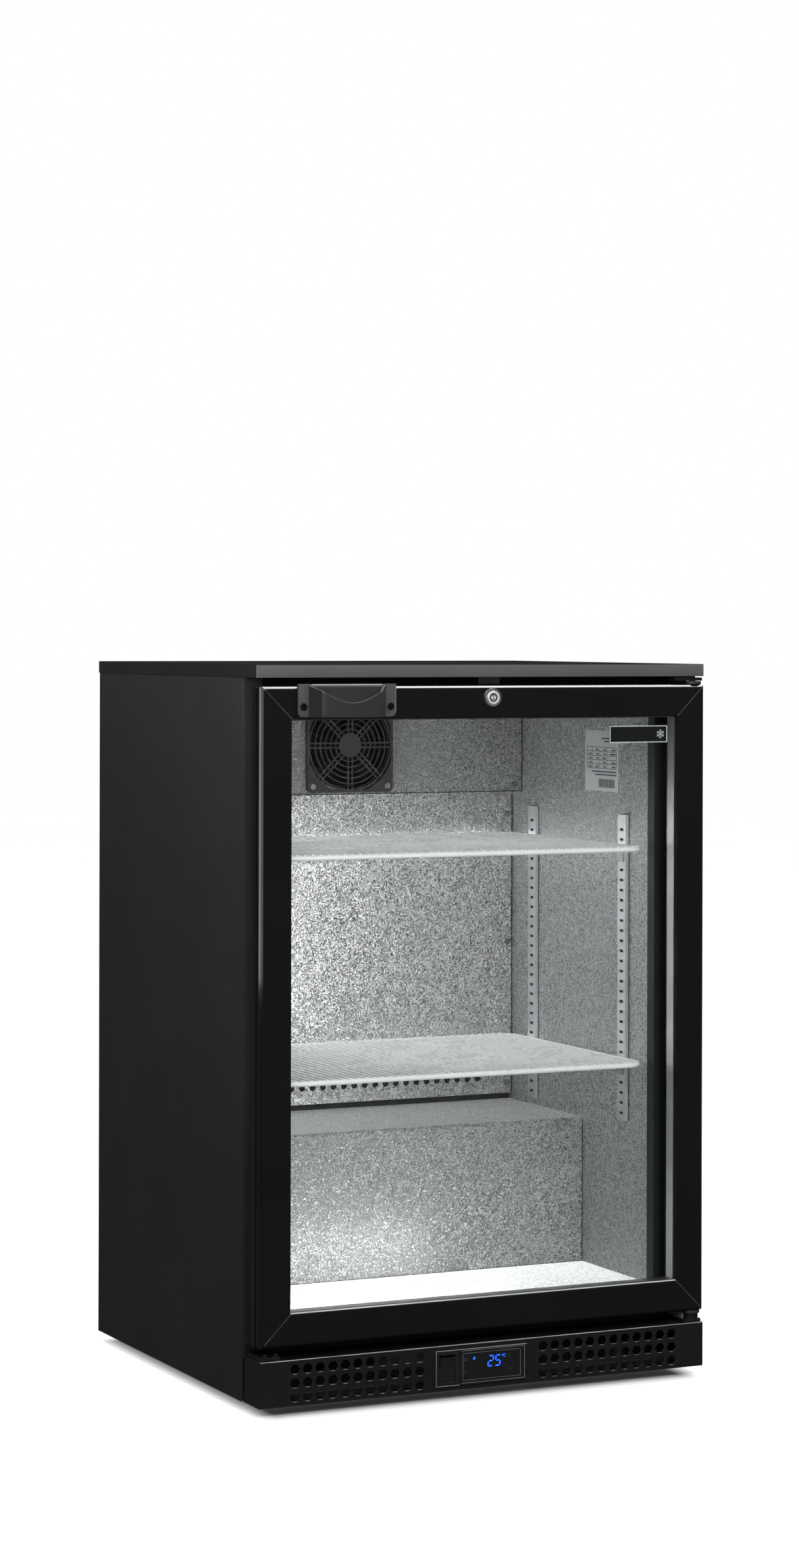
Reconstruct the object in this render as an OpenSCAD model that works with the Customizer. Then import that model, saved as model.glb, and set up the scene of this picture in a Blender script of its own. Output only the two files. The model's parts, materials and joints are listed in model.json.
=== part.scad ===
// Undercounter refrigerator with one glass door, hinged on its right side.
// The front faces -Y. The origin is on the floor, at the centre of the whole outline.

/* [Cabinet] */
// Width over the worktop
body_w = 600; // [590:1:620]
// Depth from the cabinet's front face to its rear panel
case_d = 472; // [460:1:500]
// Height from the base plate's underside to the worktop's top
case_h = 863; // [855:1:880]
// Thickness of the insulated side walls
wall_t = 45; // [42:1:48]
// Thickness of the worktop
worktop_t = 15; // [12:1:15]
// Gap between the floor and the base plate
foot_h = 12; // [12:1:20]
// Thickness of the sheet metal
sheet_t = 1; // [0.8:0.1:1.2]

/* [Door] */
// Width of the door
door_w = 594; // [590:1:594]
// Height of the door
door_h = 770; // [765:1:771]
// Thickness of the door frame, without its gasket
door_t = 32; // [31:0.5:33]
// Distance from the cabinet's front face to the door's front
door_stand = 49; // [49:0.5:51]
// Width of the frame's face around the glass
frame_w = 39; // [38:1:40]
// Thickness of each glass pane
pane_t = 4; // [3:0.5:4]
// Radius of the hinge pins
pin_r = 4; // [3.5:0.5:4]

/* [Handle and lock] */
// Width of the handle over its screw tabs
handle_w = 126; // [120:1:136]
// Height of the handle
handle_h = 39; // [36:1:39]
// How far the handle stands out from the door
handle_out = 20; // [16:1:24]
// Diameter of the lock's plug
lock_d = 15; // [14:0.5:15]

/* [Interior] */
// Height of the floor above the base plate's underside
floor_rise = 95; // [94:1:98]
// Height of the step over the machinery
step_h = 185; // [180:1:190]
// Depth of the step, from its front face to the liner's back
step_d = 242; // [236:1:246]
// Insulation between the liner's ceiling and the worktop
roof_t = 29; // [27:1:30]
// Height of the evaporator's compartment
fan_box_h = 128; // [126:1:130]
// Width of the fan guard
guard_w = 122; // [120:1:124]
// Spacing of the air slots in the duct panel
slot_pitch = 15; // [14:0.5:16]

/* [Shelves] */
// Width of a shelf
shelf_w = 494; // [488:1:494]
// Depth of a shelf
shelf_d = 363; // [350:1:365]
// Spacing of the shelf wires
wire_pitch = 10.3; // [10:0.1:12]
// Notch of the standards, counted from the bottom, that carries the upper shelf
upper_notch = 26; // [18:1:26]
// Notch of the standards, counted from the bottom, that carries the lower shelf
lower_notch = 5; // [2:1:12]
// Spacing of the slots in the shelf standards
notch_pitch = 12.7; // [12:0.1:12.7]

/* [Kick plate] */
// Height of the kick plate
kick_h = 54; // [54:1:55]
// Spacing of the hexagonal air holes
hex_pitch = 16.15; // [16:0.05:16.5]
// Width of a hexagonal air hole across its flats
hex_af = 11; // [9:0.5:12]
// Width of the controller's bezel
panel_w = 122; // [120:1:124]
// Height of the controller's bezel
panel_h = 43; // [42:1:44]

/* [Hidden] */
$fn = 48;
cut = 1;
body_gap = 0.3;
run_gap = 0.05;

// Planes of the cabinet
rear_fittings = 2.8;
total_d = handle_out + door_stand + case_d + rear_fittings;
door_y = handle_out - total_d / 2;
front_y = door_y + door_stand;
rear_y = total_d / 2 - rear_fittings;
base_z = foot_h;
top_z = foot_h + case_h;
deck_z = top_z - worktop_t;
side_x = body_w / 2 - 1.2;
skin_x = side_x - sheet_t;
liner_x = side_x - wall_t;
floor_z = base_z + floor_rise;
step_z = floor_z + step_h;
ceiling_z = deck_z - roof_t;
liner_y = rear_y - 46;
step_y = liner_y - step_d;
throat_d = 17;
mouth_y = front_y + throat_d;
slab_t = 40;
step_bend = 5;
return_w = 24;
flange_w = 8;
tray_t = 1.2;
kick_top_z = base_z + kick_h;
kick_y = door_y + 2;
kick_w = door_w;

// Air panels inside
fan_y = rear_y - 119;
duct_y = rear_y - 91;
fan_bottom_z = ceiling_z - fan_box_h;
duct_bottom_z = step_z + 8;
fan_z = ceiling_z - 64.3;
guard_t = 5;
guard_screw_at = guard_w / 2 - 8;
fan_bore_r = 56;
fan_frame_w = 120;
fan_frame_d = 25;
fan_frame_y = fan_y + sheet_t;
rotor_r = 53;
shaft_r = 2.5;
screw_hole_r = 2;
fan_screw_x = liner_x - 11;
fan_screw_z = [fan_bottom_z + 9, ceiling_z - 14];
duct_screw_x = liner_x - 8;
duct_screw_z = [duct_bottom_z + 14, (duct_bottom_z + fan_bottom_z) / 2, fan_bottom_z - 32];

// Door
door_bottom_z = kick_top_z + 14.5;
door_top_z = door_bottom_z + door_h;
opening_x = door_w / 2 - frame_w;
lip_t = 2;
glass_bite = 8;
spacer_t = 16;
glass_w = 2 * (opening_x + glass_bite);
glass_h = door_h - 2 * frame_w + 2 * glass_bite;
glass_z = door_bottom_z + frame_w - glass_bite;
outer_glass_y = door_y + lip_t;
spacer_y = outer_glass_y + pane_t;
inner_glass_y = spacer_y + spacer_t;
mitre_gap = 0.1;
gasket_w = 12;
gasket_x = 280;
gasket_low_z = door_bottom_z + 9.5;
gasket_high_z = door_top_z - 4.5;
gasket_t = door_stand - door_t - body_gap;

// Hinges
hinge_x = door_w / 2 - 11.5;
hinge_y = door_y + 12;
bush_r = 7;
bush_l = 15;
flange_r = 11;
flange_t = 3.5;
hinge_plate_t = 4;
top_plate_z = door_top_z + flange_t + 0.5;
bottom_plate_z = kick_top_z + 0.5;
bottom_pin_z = bottom_plate_z + hinge_plate_t / 2;
hinge_inner_x = hinge_x - 29;
hinge_outer_x = hinge_x + 9;

// Lock
lock_r = lock_d / 2;
lock_x = 3.6;
lock_z = door_top_z - 15;
housing_r = 9.5;
cam_slot_y = door_y + 12.7;
cam_slot_d = 4.6;
cam_y = cam_slot_y + 0.8;
cam_t = 3;
cam_reach = 21;
cam_half = 5;

// Handle
handle_x = -door_w / 2 + 108;
handle_low_z = door_top_z + 2 - handle_h;
tab_w = 14;
tab_t = 3;
grip_w = handle_w - 2 * tab_w;
handle_screw_dx = (grip_w + tab_w) / 2;
handle_screw_z = handle_low_z + 12.5;

// Shelves
shelf_front_y = front_y + 4;
rim_r = 3.2;
wire_r = 1.5;
rim_bend = 22;
standard_w = 20;
standard_t = 5;
standard_h = 384;
standard_low_z = floor_z + 194;
standard_front_y = front_y + 64;
standard_rear_y = front_y + 306;
clip_t = 2;
clip_w = 12;
notch_first = 8;
notch_h = 3.4;
clip_top = notch_first + notch_h - 0.7;
upper_z = standard_low_z + upper_notch * notch_pitch + clip_top + rim_r + body_gap;
lower_z = standard_low_z + lower_notch * notch_pitch + clip_top + rim_r + body_gap;

// Controls
panel_x = -9;
panel_z = base_z + 27;
panel_low_z = panel_z - panel_h / 2;
bezel_y = kick_y - 2;
rocker_x = panel_x - 45.5;
rocker_w = 20;
rocker_h = 30;
rocker_y = kick_y + 3.5;
rocker_tilt = 7;
axle_r = 1;
axle_out = 1.6;
cover_w = 88;
cover_h = 38;
cover_t = 1.2;
cover_left_x = panel_x - 29;
cover_y = bezel_y - 0.3;
pintle_r = 0.9;
pintle_x = cover_left_x + 0.6;
pintle_y = bezel_y + 0.5;
pintle_half = 20.3;
window_end_x = cover_left_x + cover_w - 3;
window_h = 34;
hex_rows = 3;
hex_low_z = base_z + 10.2;
hex_left_n = 11;
hex_right_n = 12;
hex_left_x = -251.4;
hex_right_x = 75;

// Machinery
deck_t = 1.5;
machine_z = base_z + deck_t;
machine_front_y = step_y + slab_t + sheet_t;
condenser_w = 230;
condenser_h = 190;
condenser_x = -230;
condenser_z = machine_z + 14;
condenser_d = 44;
condenser_y = machine_front_y + 20;
shroud_y = condenser_y + condenser_d;
blower_x = condenser_x + condenser_w / 2;
blower_z = condenser_z + condenser_h / 2;
blower_r = 78;
compressor_x = 140;
compressor_y = rear_y - 118;
can_r = 74;
can_h = 150;
can_z = machine_z + 14;
foot_inset_x = 62;
foot_inset_front = 60;
foot_inset_rear = 60;
stud_r = 5;
foot_spots = [
    [-side_x + foot_inset_x, front_y + foot_inset_front],
    [side_x - foot_inset_x, front_y + foot_inset_front],
    [-side_x + foot_inset_x, rear_y - foot_inset_rear],
    [side_x - foot_inset_x, rear_y - foot_inset_rear]
];
machine_top_z = step_z - sheet_t - slab_t;
rear_inner_x = side_x - return_w;
grille_screw_x = rear_inner_x + 8;
grille_screw_z = [base_z + 20, base_z + 120, machine_top_z - 12];
grille_screw_r = 1.6;
inlet_x = 252;
inlet_z = base_z + 40;
inlet_r = 8.6;

// ---- Shared shapes ----

// A box from its low corner to its high corner
module span(low, high) {
    translate(low) cube(high - low);
}

// A rectangular frame seen from the front, extruded backwards along +Y
module ring_y(half_w, low_z, high_z, rim, y, depth) {
    translate([0, y + depth, 0]) rotate([90, 0, 0]) linear_extrude(depth) difference() {
        translate([-half_w, low_z]) square([2 * half_w, high_z - low_z]);
        translate([-half_w + rim, low_z + rim])
            square([2 * (half_w - rim), high_z - low_z - 2 * rim]);
    }
}

// A flat outline in X and Z, extruded from y to y + depth
module sheet_y(y, depth) {
    translate([0, y + depth, 0]) rotate([90, 0, 0]) linear_extrude(depth) children();
}

// A round bar along Y, from y to y + length
module bar_y(x, y, z, r, length) {
    translate([x, y, z]) rotate([-90, 0, 0]) cylinder(r = r, h = length);
}

// A round bar along X, from x to x + length
module bar_x(x, y, z, r, length) {
    translate([x, y, z]) rotate([0, 90, 0]) cylinder(r = r, h = length);
}

// A slot with round ends, in the plane
module obround(w, h) {
    translate([-w / 2, -h / 2 + w / 2]) square([w, h - w]);
    translate([0, h / 2 - w / 2]) circle(d = w);
    translate([0, -h / 2 + w / 2]) circle(d = w);
}

// A rectangle with four round corners, in the plane
module round_rect(w, h, r) {
    translate([-w / 2 + r, -h / 2]) square([w - 2 * r, h]);
    translate([-w / 2, -h / 2 + r]) square([w, h - 2 * r]);
    for (sx = [-1, 1], sz = [-1, 1])
        translate([sx * (w / 2 - r), sz * (h / 2 - r)]) circle(r = r);
}

// A pan-head screw that faces -Y, with a cross recess, its head's seat at the origin
module pan_screw(head_r = 4, head_t = 1.8, shank_r = 1.7, shank_l = 8) {
    recess = 0.9;
    difference() {
        union() {
            bar_y(0, -head_t, 0, head_r, head_t);
            bar_y(0, -cut, 0, shank_r, shank_l + cut);
        }
        span([-head_r / 2, -head_t - cut, -recess / 2], [head_r / 2, -head_t + recess, recess / 2]);
        span([-recess / 2, -head_t - cut, -head_r / 2], [recess / 2, -head_t + recess, head_r / 2]);
    }
}

// ---- Cabinet skin ----

module side_panel() {
    difference() {
        union() {
            span([skin_x, front_y, base_z], [side_x, rear_y, deck_z]);
            span([side_x - return_w, front_y, kick_top_z + cut],
                 [skin_x + cut / 2, front_y + sheet_t, deck_z]);
            span([side_x - return_w, rear_y - sheet_t, base_z], [skin_x + cut / 2, rear_y, deck_z]);
        }
        for (z = grille_screw_z)
            bar_y(grille_screw_x, rear_y - sheet_t - cut, z, grille_screw_r + 0.1, sheet_t + 2 * cut);
    }
}

module side_panel_left() {
    color("#1b1b1c") mirror([1, 0, 0]) side_panel();
}

module side_panel_right() {
    color("#1b1b1c") side_panel();
}

module rear_panel() {
    rib_w = 6;
    rib_n = 5;
    rib_margin = 40;
    rib_step = 2 * rear_inner_x / (rib_n + 1);
    color("#8f9193") {
        span([-rear_inner_x, rear_y - sheet_t, machine_top_z], [rear_inner_x, rear_y, deck_z]);
        for (i = [1:rib_n])
            translate([-rear_inner_x + i * rib_step, 0, 0])
                span([-rib_w / 2, rear_y - 2 * sheet_t, machine_top_z + rib_margin],
                     [rib_w / 2, rear_y - sheet_t / 2, deck_z - rib_margin]);
    }
}

module rear_grille() {
    louvre_w = 6;
    louvre_h = 44;
    louvre_step = 15;
    rows = 3;
    columns = 30;
    middle_x = -14;
    color("#232425") sheet_y(rear_y, sheet_t) difference() {
        translate([-side_x + 10, base_z + 6]) square([2 * side_x - 20, machine_top_z - base_z - 6]);
        for (i = [0:columns - 1], k = [0:rows - 1])
            translate([(i - (columns - 1) / 2) * louvre_step + middle_x, base_z + 52 + k * 64])
                square([louvre_w, louvre_h], center = true);
        translate([inlet_x, inlet_z]) circle(r = inlet_r + 0.4);
        for (s = [-1, 1], z = grille_screw_z)
            translate([s * grille_screw_x, z]) circle(r = screw_hole_r);
    }
}

module worktop() {
    lip = 40;
    notch = 1.2;
    half = body_w / 2;
    inner = half - tray_t;
    color("#2a2b2c") difference() {
        span([-half, front_y - lip, deck_z], [half, rear_y, top_z]);
        // The tray is open below, behind the front overhang
        span([-inner, front_y + tray_t, deck_z - cut], [inner, rear_y - tray_t, top_z - tray_t]);
        span([-inner, front_y - lip + tray_t, deck_z + tray_t],
             [inner, front_y + 2 * tray_t, top_z - tray_t]);
        // Open folds at the two front corners
        for (s = [-1, 1])
            translate([s * half, front_y - lip, deck_z - cut]) rotate([0, 0, s * 45])
                translate([-notch / 2, -notch, 0]) cube([notch, 2 * notch, worktop_t - tray_t + cut]);
    }
}

module front_frame() {
    half = skin_x - return_w + 0.8;
    edge = flange_w + 0.2;
    color("#161617") sheet_y(front_y, sheet_t) difference() {
        translate([-half, kick_top_z]) square([2 * half, deck_z - kick_top_z]);
        // The throat strip's flange fills the rest of the mouth
        translate([-liner_x - edge, floor_z - edge])
            square([2 * (liner_x + edge), ceiling_z - floor_z + 2 * edge]);
    }
}

module throat_frame() {
    flange_t = 1.5;
    color("#111112") difference() {
        union() {
            span([-liner_x - flange_w, front_y, floor_z - flange_w],
                 [liner_x + flange_w, front_y + flange_t, ceiling_z + flange_w]);
            span([-liner_x - sheet_t, front_y, floor_z - sheet_t],
                 [liner_x + sheet_t, mouth_y, ceiling_z + sheet_t]);
        }
        span([-liner_x, front_y - cut, floor_z], [liner_x, mouth_y + cut, ceiling_z]);
    }
}

module base_plate() {
    nut_r = 9;
    nut_h = 8;
    color("#6f7173") difference() {
        union() {
            span([-skin_x, front_y, base_z], [skin_x, rear_y - sheet_t, machine_z]);
            for (p = foot_spots)
                translate([p.x, p.y, machine_z - cut / 2]) cylinder(r = nut_r, h = nut_h);
        }
        for (p = foot_spots)
            translate([p.x, p.y, base_z - cut]) cylinder(r = stud_r + run_gap, h = deck_t + nut_h + 2 * cut);
    }
}

// ---- Kick plate and controls ----

module hex_group(count, first_x) {
    for (i = [0:count - 1], k = [0:hex_rows - 1])
        translate([first_x + i * hex_pitch, hex_low_z + k * hex_pitch])
            circle(d = hex_af / cos(30), $fn = 6);
}

module kick_plate() {
    metal = 1.2;
    lip = 9;
    half = kick_w / 2;
    color("#1d1d1e") {
        sheet_y(kick_y, metal) difference() {
            translate([-half, base_z]) square([kick_w, kick_h]);
            hex_group(hex_left_n, hex_left_x);
            hex_group(hex_right_n, hex_right_x);
            translate([panel_x - panel_w / 2 + 2, panel_low_z + 2]) square([panel_w - 4, panel_h - 4]);
        }
        span([-half, kick_y + metal / 2, kick_top_z - metal], [half, front_y, kick_top_z]);
        span([-half, kick_y + metal / 2, base_z], [half, kick_y + lip, base_z + metal]);
        for (s = [0, 1]) mirror([s, 0, 0])
            span([half - metal, kick_y + metal / 2, base_z], [half, front_y, kick_top_z]);
    }
}

module controller_bezel() {
    face_t = 2;
    inset = 2.2;
    depth = 8;
    recess_d = 1.6;
    window_x = cover_left_x + 2;
    side_gap = 0.6;
    end_gap = 0.8;
    half_w = panel_w / 2;
    half_h = panel_h / 2;
    back_y = kick_y + depth + cut;
    color("#141415") difference() {
        union() {
            sheet_y(bezel_y, face_t) translate([panel_x, panel_z]) round_rect(panel_w, panel_h, 2);
            span([panel_x - half_w + inset, kick_y - cut / 2, panel_z - half_h + inset],
                 [panel_x + half_w - inset, kick_y + depth, panel_z + half_h - inset]);
        }
        // Rocker window
        span([rocker_x - rocker_w / 2 - side_gap, bezel_y - cut, panel_z - rocker_h / 2 - end_gap],
             [rocker_x + rocker_w / 2 + side_gap, back_y, panel_z + rocker_h / 2 + end_gap]);
        // Recess for the clear cover, with a finger notch at its free end
        span([cover_left_x - end_gap, bezel_y - cut, panel_z - cover_h / 2 - 0.5],
             [cover_left_x + cover_w + 1.5, bezel_y + recess_d, panel_z + cover_h / 2 + 0.5]);
        span([window_x, bezel_y - cut, panel_z - window_h / 2],
             [window_end_x, back_y, panel_z + window_h / 2]);
        bar_y(panel_x + half_w, bezel_y - cut, panel_z, 7, recess_d + 0.6 + cut);
        // Sockets for the cover's pintles and the rocker's axle
        translate([pintle_x, pintle_y, panel_z - pintle_half - 0.4])
            cylinder(r = pintle_r + run_gap, h = 2 * pintle_half + 0.8);
        bar_x(rocker_x - rocker_w / 2 - axle_out - 0.4, rocker_y, panel_z, axle_r + run_gap,
              rocker_w + 2 * axle_out + 0.8);
    }
}

module display_panel() {
    gap = 0.2;
    low_x = cover_left_x + 2 + gap;
    high_x = window_end_x - gap;
    half_h = window_h / 2 - gap;
    depth = 36;
    border = 1.8;
    color("#0b0b0d") {
        span([low_x, kick_y + 1.5, panel_z - half_h], [high_x, kick_y + depth, panel_z + half_h]);
        // Raised touch field
        span([low_x + border, kick_y + 0.9, panel_z - half_h + border],
             [high_x - border, kick_y + 2, panel_z + half_h - border]);
    }
}

module rocker_switch() {
    half = rocker_h / 2 - 0.4;
    nose = rocker_y - bezel_y;
    color("#1a1a1b") translate([rocker_x, rocker_y, panel_z]) rotate([rocker_tilt, 0, 0]) {
        // Two faces that meet in a shallow valley
        translate([-rocker_w / 2, 0, 0]) rotate([90, 0, 90]) linear_extrude(rocker_w)
            polygon([[-nose - 1.2, -half], [-nose + 0.6, 0], [-nose - 1.2, half],
                     [3, half * 0.6], [3, -half * 0.6]]);
        bar_x(-rocker_w / 2 - axle_out, 0, 0, axle_r, rocker_w + 2 * axle_out);
    }
}

module control_cover() {
    rim_z = cover_h / 2 - 0.8;
    rim_half = 0.6;
    color("#8fa3ad", 0.35) {
        sheet_y(cover_y, cover_t) translate([cover_left_x + cover_w / 2, panel_z]) difference() {
            round_rect(cover_w, cover_h, 1.5);
            translate([cover_w / 2 + 5, 0]) circle(r = 8);
        }
        // Stiffening rims behind the upper and lower edges
        for (s = [-1, 1]) translate([0, 0, panel_z + s * rim_z])
            span([cover_left_x + 4, cover_y + cover_t / 2, -rim_half],
                 [cover_left_x + cover_w - 8, cover_y + cover_t + 0.3, rim_half]);
        translate([pintle_x, pintle_y, panel_z - pintle_half]) cylinder(r = pintle_r, h = 2 * pintle_half);
    }
}

// ---- Insulation and liner ----

module insulation() {
    inner = liner_x + sheet_t;
    split = 0.1;
    slab_x = inner - split;
    front = front_y + 2;
    back = rear_y - 2 * sheet_t - split;
    roof = top_z - tray_t - split;
    color("#d8c99a") {
        for (s = [0, 1]) mirror([s, 0, 0])
            span([inner, front, kick_top_z], [skin_x, back, roof]);
        span([-slab_x, front, ceiling_z + sheet_t + 2 * split], [slab_x, back, roof]);
        span([-slab_x, liner_y + sheet_t, step_z + split], [slab_x, back, ceiling_z + sheet_t]);
        // The slab under the step has its front edge cut back for the round bend
        translate([-slab_x, 0, 0]) rotate([90, 0, 90]) linear_extrude(2 * slab_x) polygon([
            [step_y + sheet_t, machine_top_z], [back, machine_top_z], [back, step_z - sheet_t],
            [step_y + step_bend, step_z - sheet_t], [step_y + sheet_t, step_z - step_bend]]);
        span([-slab_x, step_y + sheet_t, kick_top_z],
             [slab_x, step_y + sheet_t + slab_t, machine_top_z - split]);
        span([-slab_x, front, kick_top_z], [slab_x, step_y + sheet_t - split, floor_z - sheet_t]);
    }
}

// A side wall follows the step, so its lower rear corner is cut away
module liner_side() {
    span([liner_x, mouth_y, step_z - sheet_t], [liner_x + sheet_t, liner_y, ceiling_z + sheet_t]);
    span([liner_x, mouth_y, floor_z - sheet_t], [liner_x + sheet_t, step_y + sheet_t, step_z - sheet_t]);
}

module liner_left() {
    color("#c4c8ca") mirror([1, 0, 0]) liner_side();
}

module liner_right() {
    color("#c4c8ca") liner_side();
}

module liner_back() {
    color("#b7bbbd") span([-liner_x, liner_y, step_z], [liner_x, liner_y + sheet_t, ceiling_z]);
}

module liner_ceiling() {
    color("#c4c8ca") span([-liner_x, mouth_y, ceiling_z], [liner_x, liner_y + sheet_t, ceiling_z + sheet_t]);
}

module liner_floor() {
    color("#c4c8ca") span([-liner_x, mouth_y, floor_z - sheet_t], [liner_x, step_y, floor_z]);
}

module liner_step() {
    color("#c4c8ca") {
        // The front face and the top, joined by a round bend
        span([-liner_x, step_y, floor_z - sheet_t], [liner_x, step_y + sheet_t, step_z - step_bend]);
        span([-liner_x, step_y + step_bend, step_z - sheet_t], [liner_x, liner_y + sheet_t, step_z]);
        translate([-liner_x, step_y + step_bend, step_z - step_bend]) rotate([0, 90, 0])
            linear_extrude(2 * liner_x) intersection() {
                difference() {
                    circle(r = step_bend);
                    circle(r = step_bend - sheet_t);
                }
                translate([-step_bend, -step_bend]) square(step_bend);
            }
    }
}

// ---- Air panels, fan and evaporator ----

module fan_panel() {
    edge = 0.6;
    half = liner_x - edge;
    intake_w = 60;
    intake_step = 68;
    color("#bfc3c5") {
        sheet_y(fan_y, sheet_t) difference() {
            translate([-half, fan_bottom_z]) square([2 * half, ceiling_z - fan_bottom_z - edge]);
            translate([0, fan_z]) circle(r = fan_bore_r);
            for (s = [-1, 1], z = fan_screw_z) translate([s * fan_screw_x, z]) circle(r = screw_hole_r);
        }
        difference() {
            span([-half, fan_y + sheet_t / 2, fan_bottom_z], [half, duct_y, fan_bottom_z + sheet_t]);
            for (i = [-3:3]) translate([i * intake_step, 0, 0])
                span([-intake_w / 2, fan_y + 8, fan_bottom_z - cut],
                     [intake_w / 2, duct_y - 6, fan_bottom_z + sheet_t + cut]);
        }
    }
}

module duct_panel() {
    edge = 0.6;
    slot_n = 28;
    slot_w = 8.6;
    slot_h = 32;
    slot_z = step_z + 25 + slot_h / 2;
    color("#bfc3c5") sheet_y(duct_y, sheet_t) difference() {
        translate([-liner_x + edge, duct_bottom_z])
            square([2 * (liner_x - edge), fan_bottom_z + sheet_t - duct_bottom_z]);
        for (i = [0:slot_n - 1])
            translate([(i - (slot_n - 1) / 2) * slot_pitch, slot_z]) obround(slot_w, slot_h);
        for (s = [-1, 1], z = duct_screw_z) translate([s * duct_screw_x, z]) circle(r = screw_hole_r);
    }
}

module fan_guard() {
    ring_t = 1.8;
    ring_step = 7.2;
    ring_n = 5;
    first_r = 21;
    hub_r = 16;
    outer_r = 57;
    window_r = 62;
    spoke_t = 2.3;
    spoke_gap = 5.8;
    color("#2b2c2d") sheet_y(fan_y - guard_t, guard_t) translate([0, fan_z]) {
        difference() {
            round_rect(guard_w, guard_w, 7);
            intersection() {
                circle(r = window_r);
                square(guard_w - 7, center = true);
            }
            for (sx = [-1, 1], sz = [-1, 1])
                translate([sx * guard_screw_at, sz * guard_screw_at]) circle(r = 2.2);
        }
        difference() {
            circle(r = outer_r + 2);
            circle(r = outer_r);
        }
        for (i = [0:ring_n - 1]) difference() {
            circle(r = first_r + i * ring_step + ring_t / 2);
            circle(r = first_r + i * ring_step - ring_t / 2);
        }
        for (a = [0:45:135]) rotate(a) for (s = [-1, 1])
            translate([-window_r + 1, s * spoke_gap / 2 - spoke_t / 2]) square([2 * window_r - 2, spoke_t]);
        circle(r = hub_r);
    }
}

module evaporator_fan_frame() {
    motor_r = 19;
    strut_w = 6;
    strut_t = 4;
    back_y = fan_frame_y + fan_frame_d;
    color("#1c1c1d") difference() {
        union() {
            difference() {
                sheet_y(fan_frame_y, fan_frame_d) translate([0, fan_z]) square(fan_frame_w, center = true);
                bar_y(0, fan_frame_y - cut, fan_z, fan_bore_r, fan_frame_d + 2 * cut);
            }
            for (a = [45:90:315]) translate([0, back_y - strut_t, fan_z]) rotate([0, a, 0])
                translate([motor_r - 3, 0, -strut_w / 2])
                    cube([fan_bore_r - motor_r + 6, strut_t - 0.5, strut_w]);
            bar_y(0, back_y - 10, fan_z, motor_r, 10);
        }
        bar_y(0, fan_frame_y, fan_z, shaft_r + run_gap, fan_frame_d + cut);
        for (sx = [-1, 1], sz = [-1, 1])
            bar_y(sx * guard_screw_at, fan_frame_y - cut, fan_z + sz * guard_screw_at, screw_hole_r,
                  fan_frame_d + 2 * cut);
    }
}

// A fan wheel that turns about Y: hub in front, blades pitched against the flow
module fan_wheel(r, hub_r, depth, blades, pitch, shaft_l) {
    chord = 0.62 * r;
    bar_y(0, 0, 0, hub_r, depth);
    intersection() {
        bar_y(0, 0, 0, r, depth);
        for (i = [0:blades - 1]) rotate([0, i * 360 / blades, 0])
            translate([hub_r - 3, depth / 2, 0]) rotate([pitch, 0, 0])
                translate([0, -0.8, -chord / 2]) cube([r, 1.6, chord]);
    }
    bar_y(0, depth / 2, 0, shaft_r, shaft_l);
}

module evaporator_fan() {
    color("#262728") translate([0, fan_frame_y + 1.2, fan_z]) fan_wheel(rotor_r, 19, 12, 7, 42, 20);
}

module evaporator() {
    fin_t = 0.6;
    fin_step = 6;
    tube_r = 4;
    bend_at = 9;
    half = 225;
    depth = 34;
    height = 92;
    coil_y = liner_y - depth - 4;
    coil_z = fan_bottom_z + 14;
    fins = floor(2 * half / fin_step);
    color("#a9b0b4") {
        // A comb of fins on a thin web, with a tube row on each side
        translate([-half, coil_y, coil_z]) linear_extrude(height) {
            for (i = [0:fins]) translate([i * fin_step, 0]) square([fin_t, depth]);
            translate([0, depth / 2 - 0.4]) square([fins * fin_step + fin_t, 0.8]);
        }
        for (s = [-1, 1], k = [0:2]) translate([s * (half + 1.5), coil_y + depth / 2, coil_z + 18 + 28 * k])
            rotate([0, s * 90, 0]) {
                for (t = [-1, 1]) translate([0, t * bend_at, -1]) cylinder(r = tube_r, h = 9);
                translate([0, 0, 8]) cube([7, 2 * bend_at + 1, 6], center = true);
            }
    }
}

module light_bar() {
    half = 190;
    base_t = 5;
    lens_t = 5;
    bar_w = 20;
    lens_in = 3;
    low_y = mouth_y + 6;
    color("#f2f4f5") {
        span([-half, low_y, ceiling_z - base_t], [half, low_y + bar_w, ceiling_z]);
        span([-half + lens_in, low_y + lens_in, ceiling_z - base_t - lens_t],
             [half - lens_in, low_y + bar_w - lens_in, ceiling_z - base_t + cut / 2]);
    }
}

module rating_label() {
    label_t = 0.3;
    label_w = 87;
    label_h = 77;
    label_y = door_y + 140;
    label_z = fan_bottom_z + 9;
    color("#d9dbdc")
        span([liner_x - label_t, label_y, label_z], [liner_x, label_y + label_w, label_z + label_h]);
}

// ---- Shelves ----

module standard_at(y) {
    notch_w = 9;
    wall = 1.2;
    face_x = liner_x - standard_t;
    middle = standard_w / 2;
    count = floor((standard_h - 2 * notch_first) / notch_pitch);
    translate([0, y, standard_low_z]) difference() {
        span([face_x, 0, 0], [liner_x, standard_w, standard_h]);
        span([face_x + wall, wall, -cut], [liner_x + cut, standard_w - wall, standard_h + cut]);
        for (i = [0:count]) translate([face_x, middle, notch_first + i * notch_pitch])
            span([-cut, -notch_w / 2, 0], [2, notch_w / 2, notch_h]);
    }
}

module shelf_standards() {
    color("#c9cccd") for (s = [0, 1], y = [standard_front_y, standard_rear_y])
        mirror([s, 0, 0]) standard_at(y);
}

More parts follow.
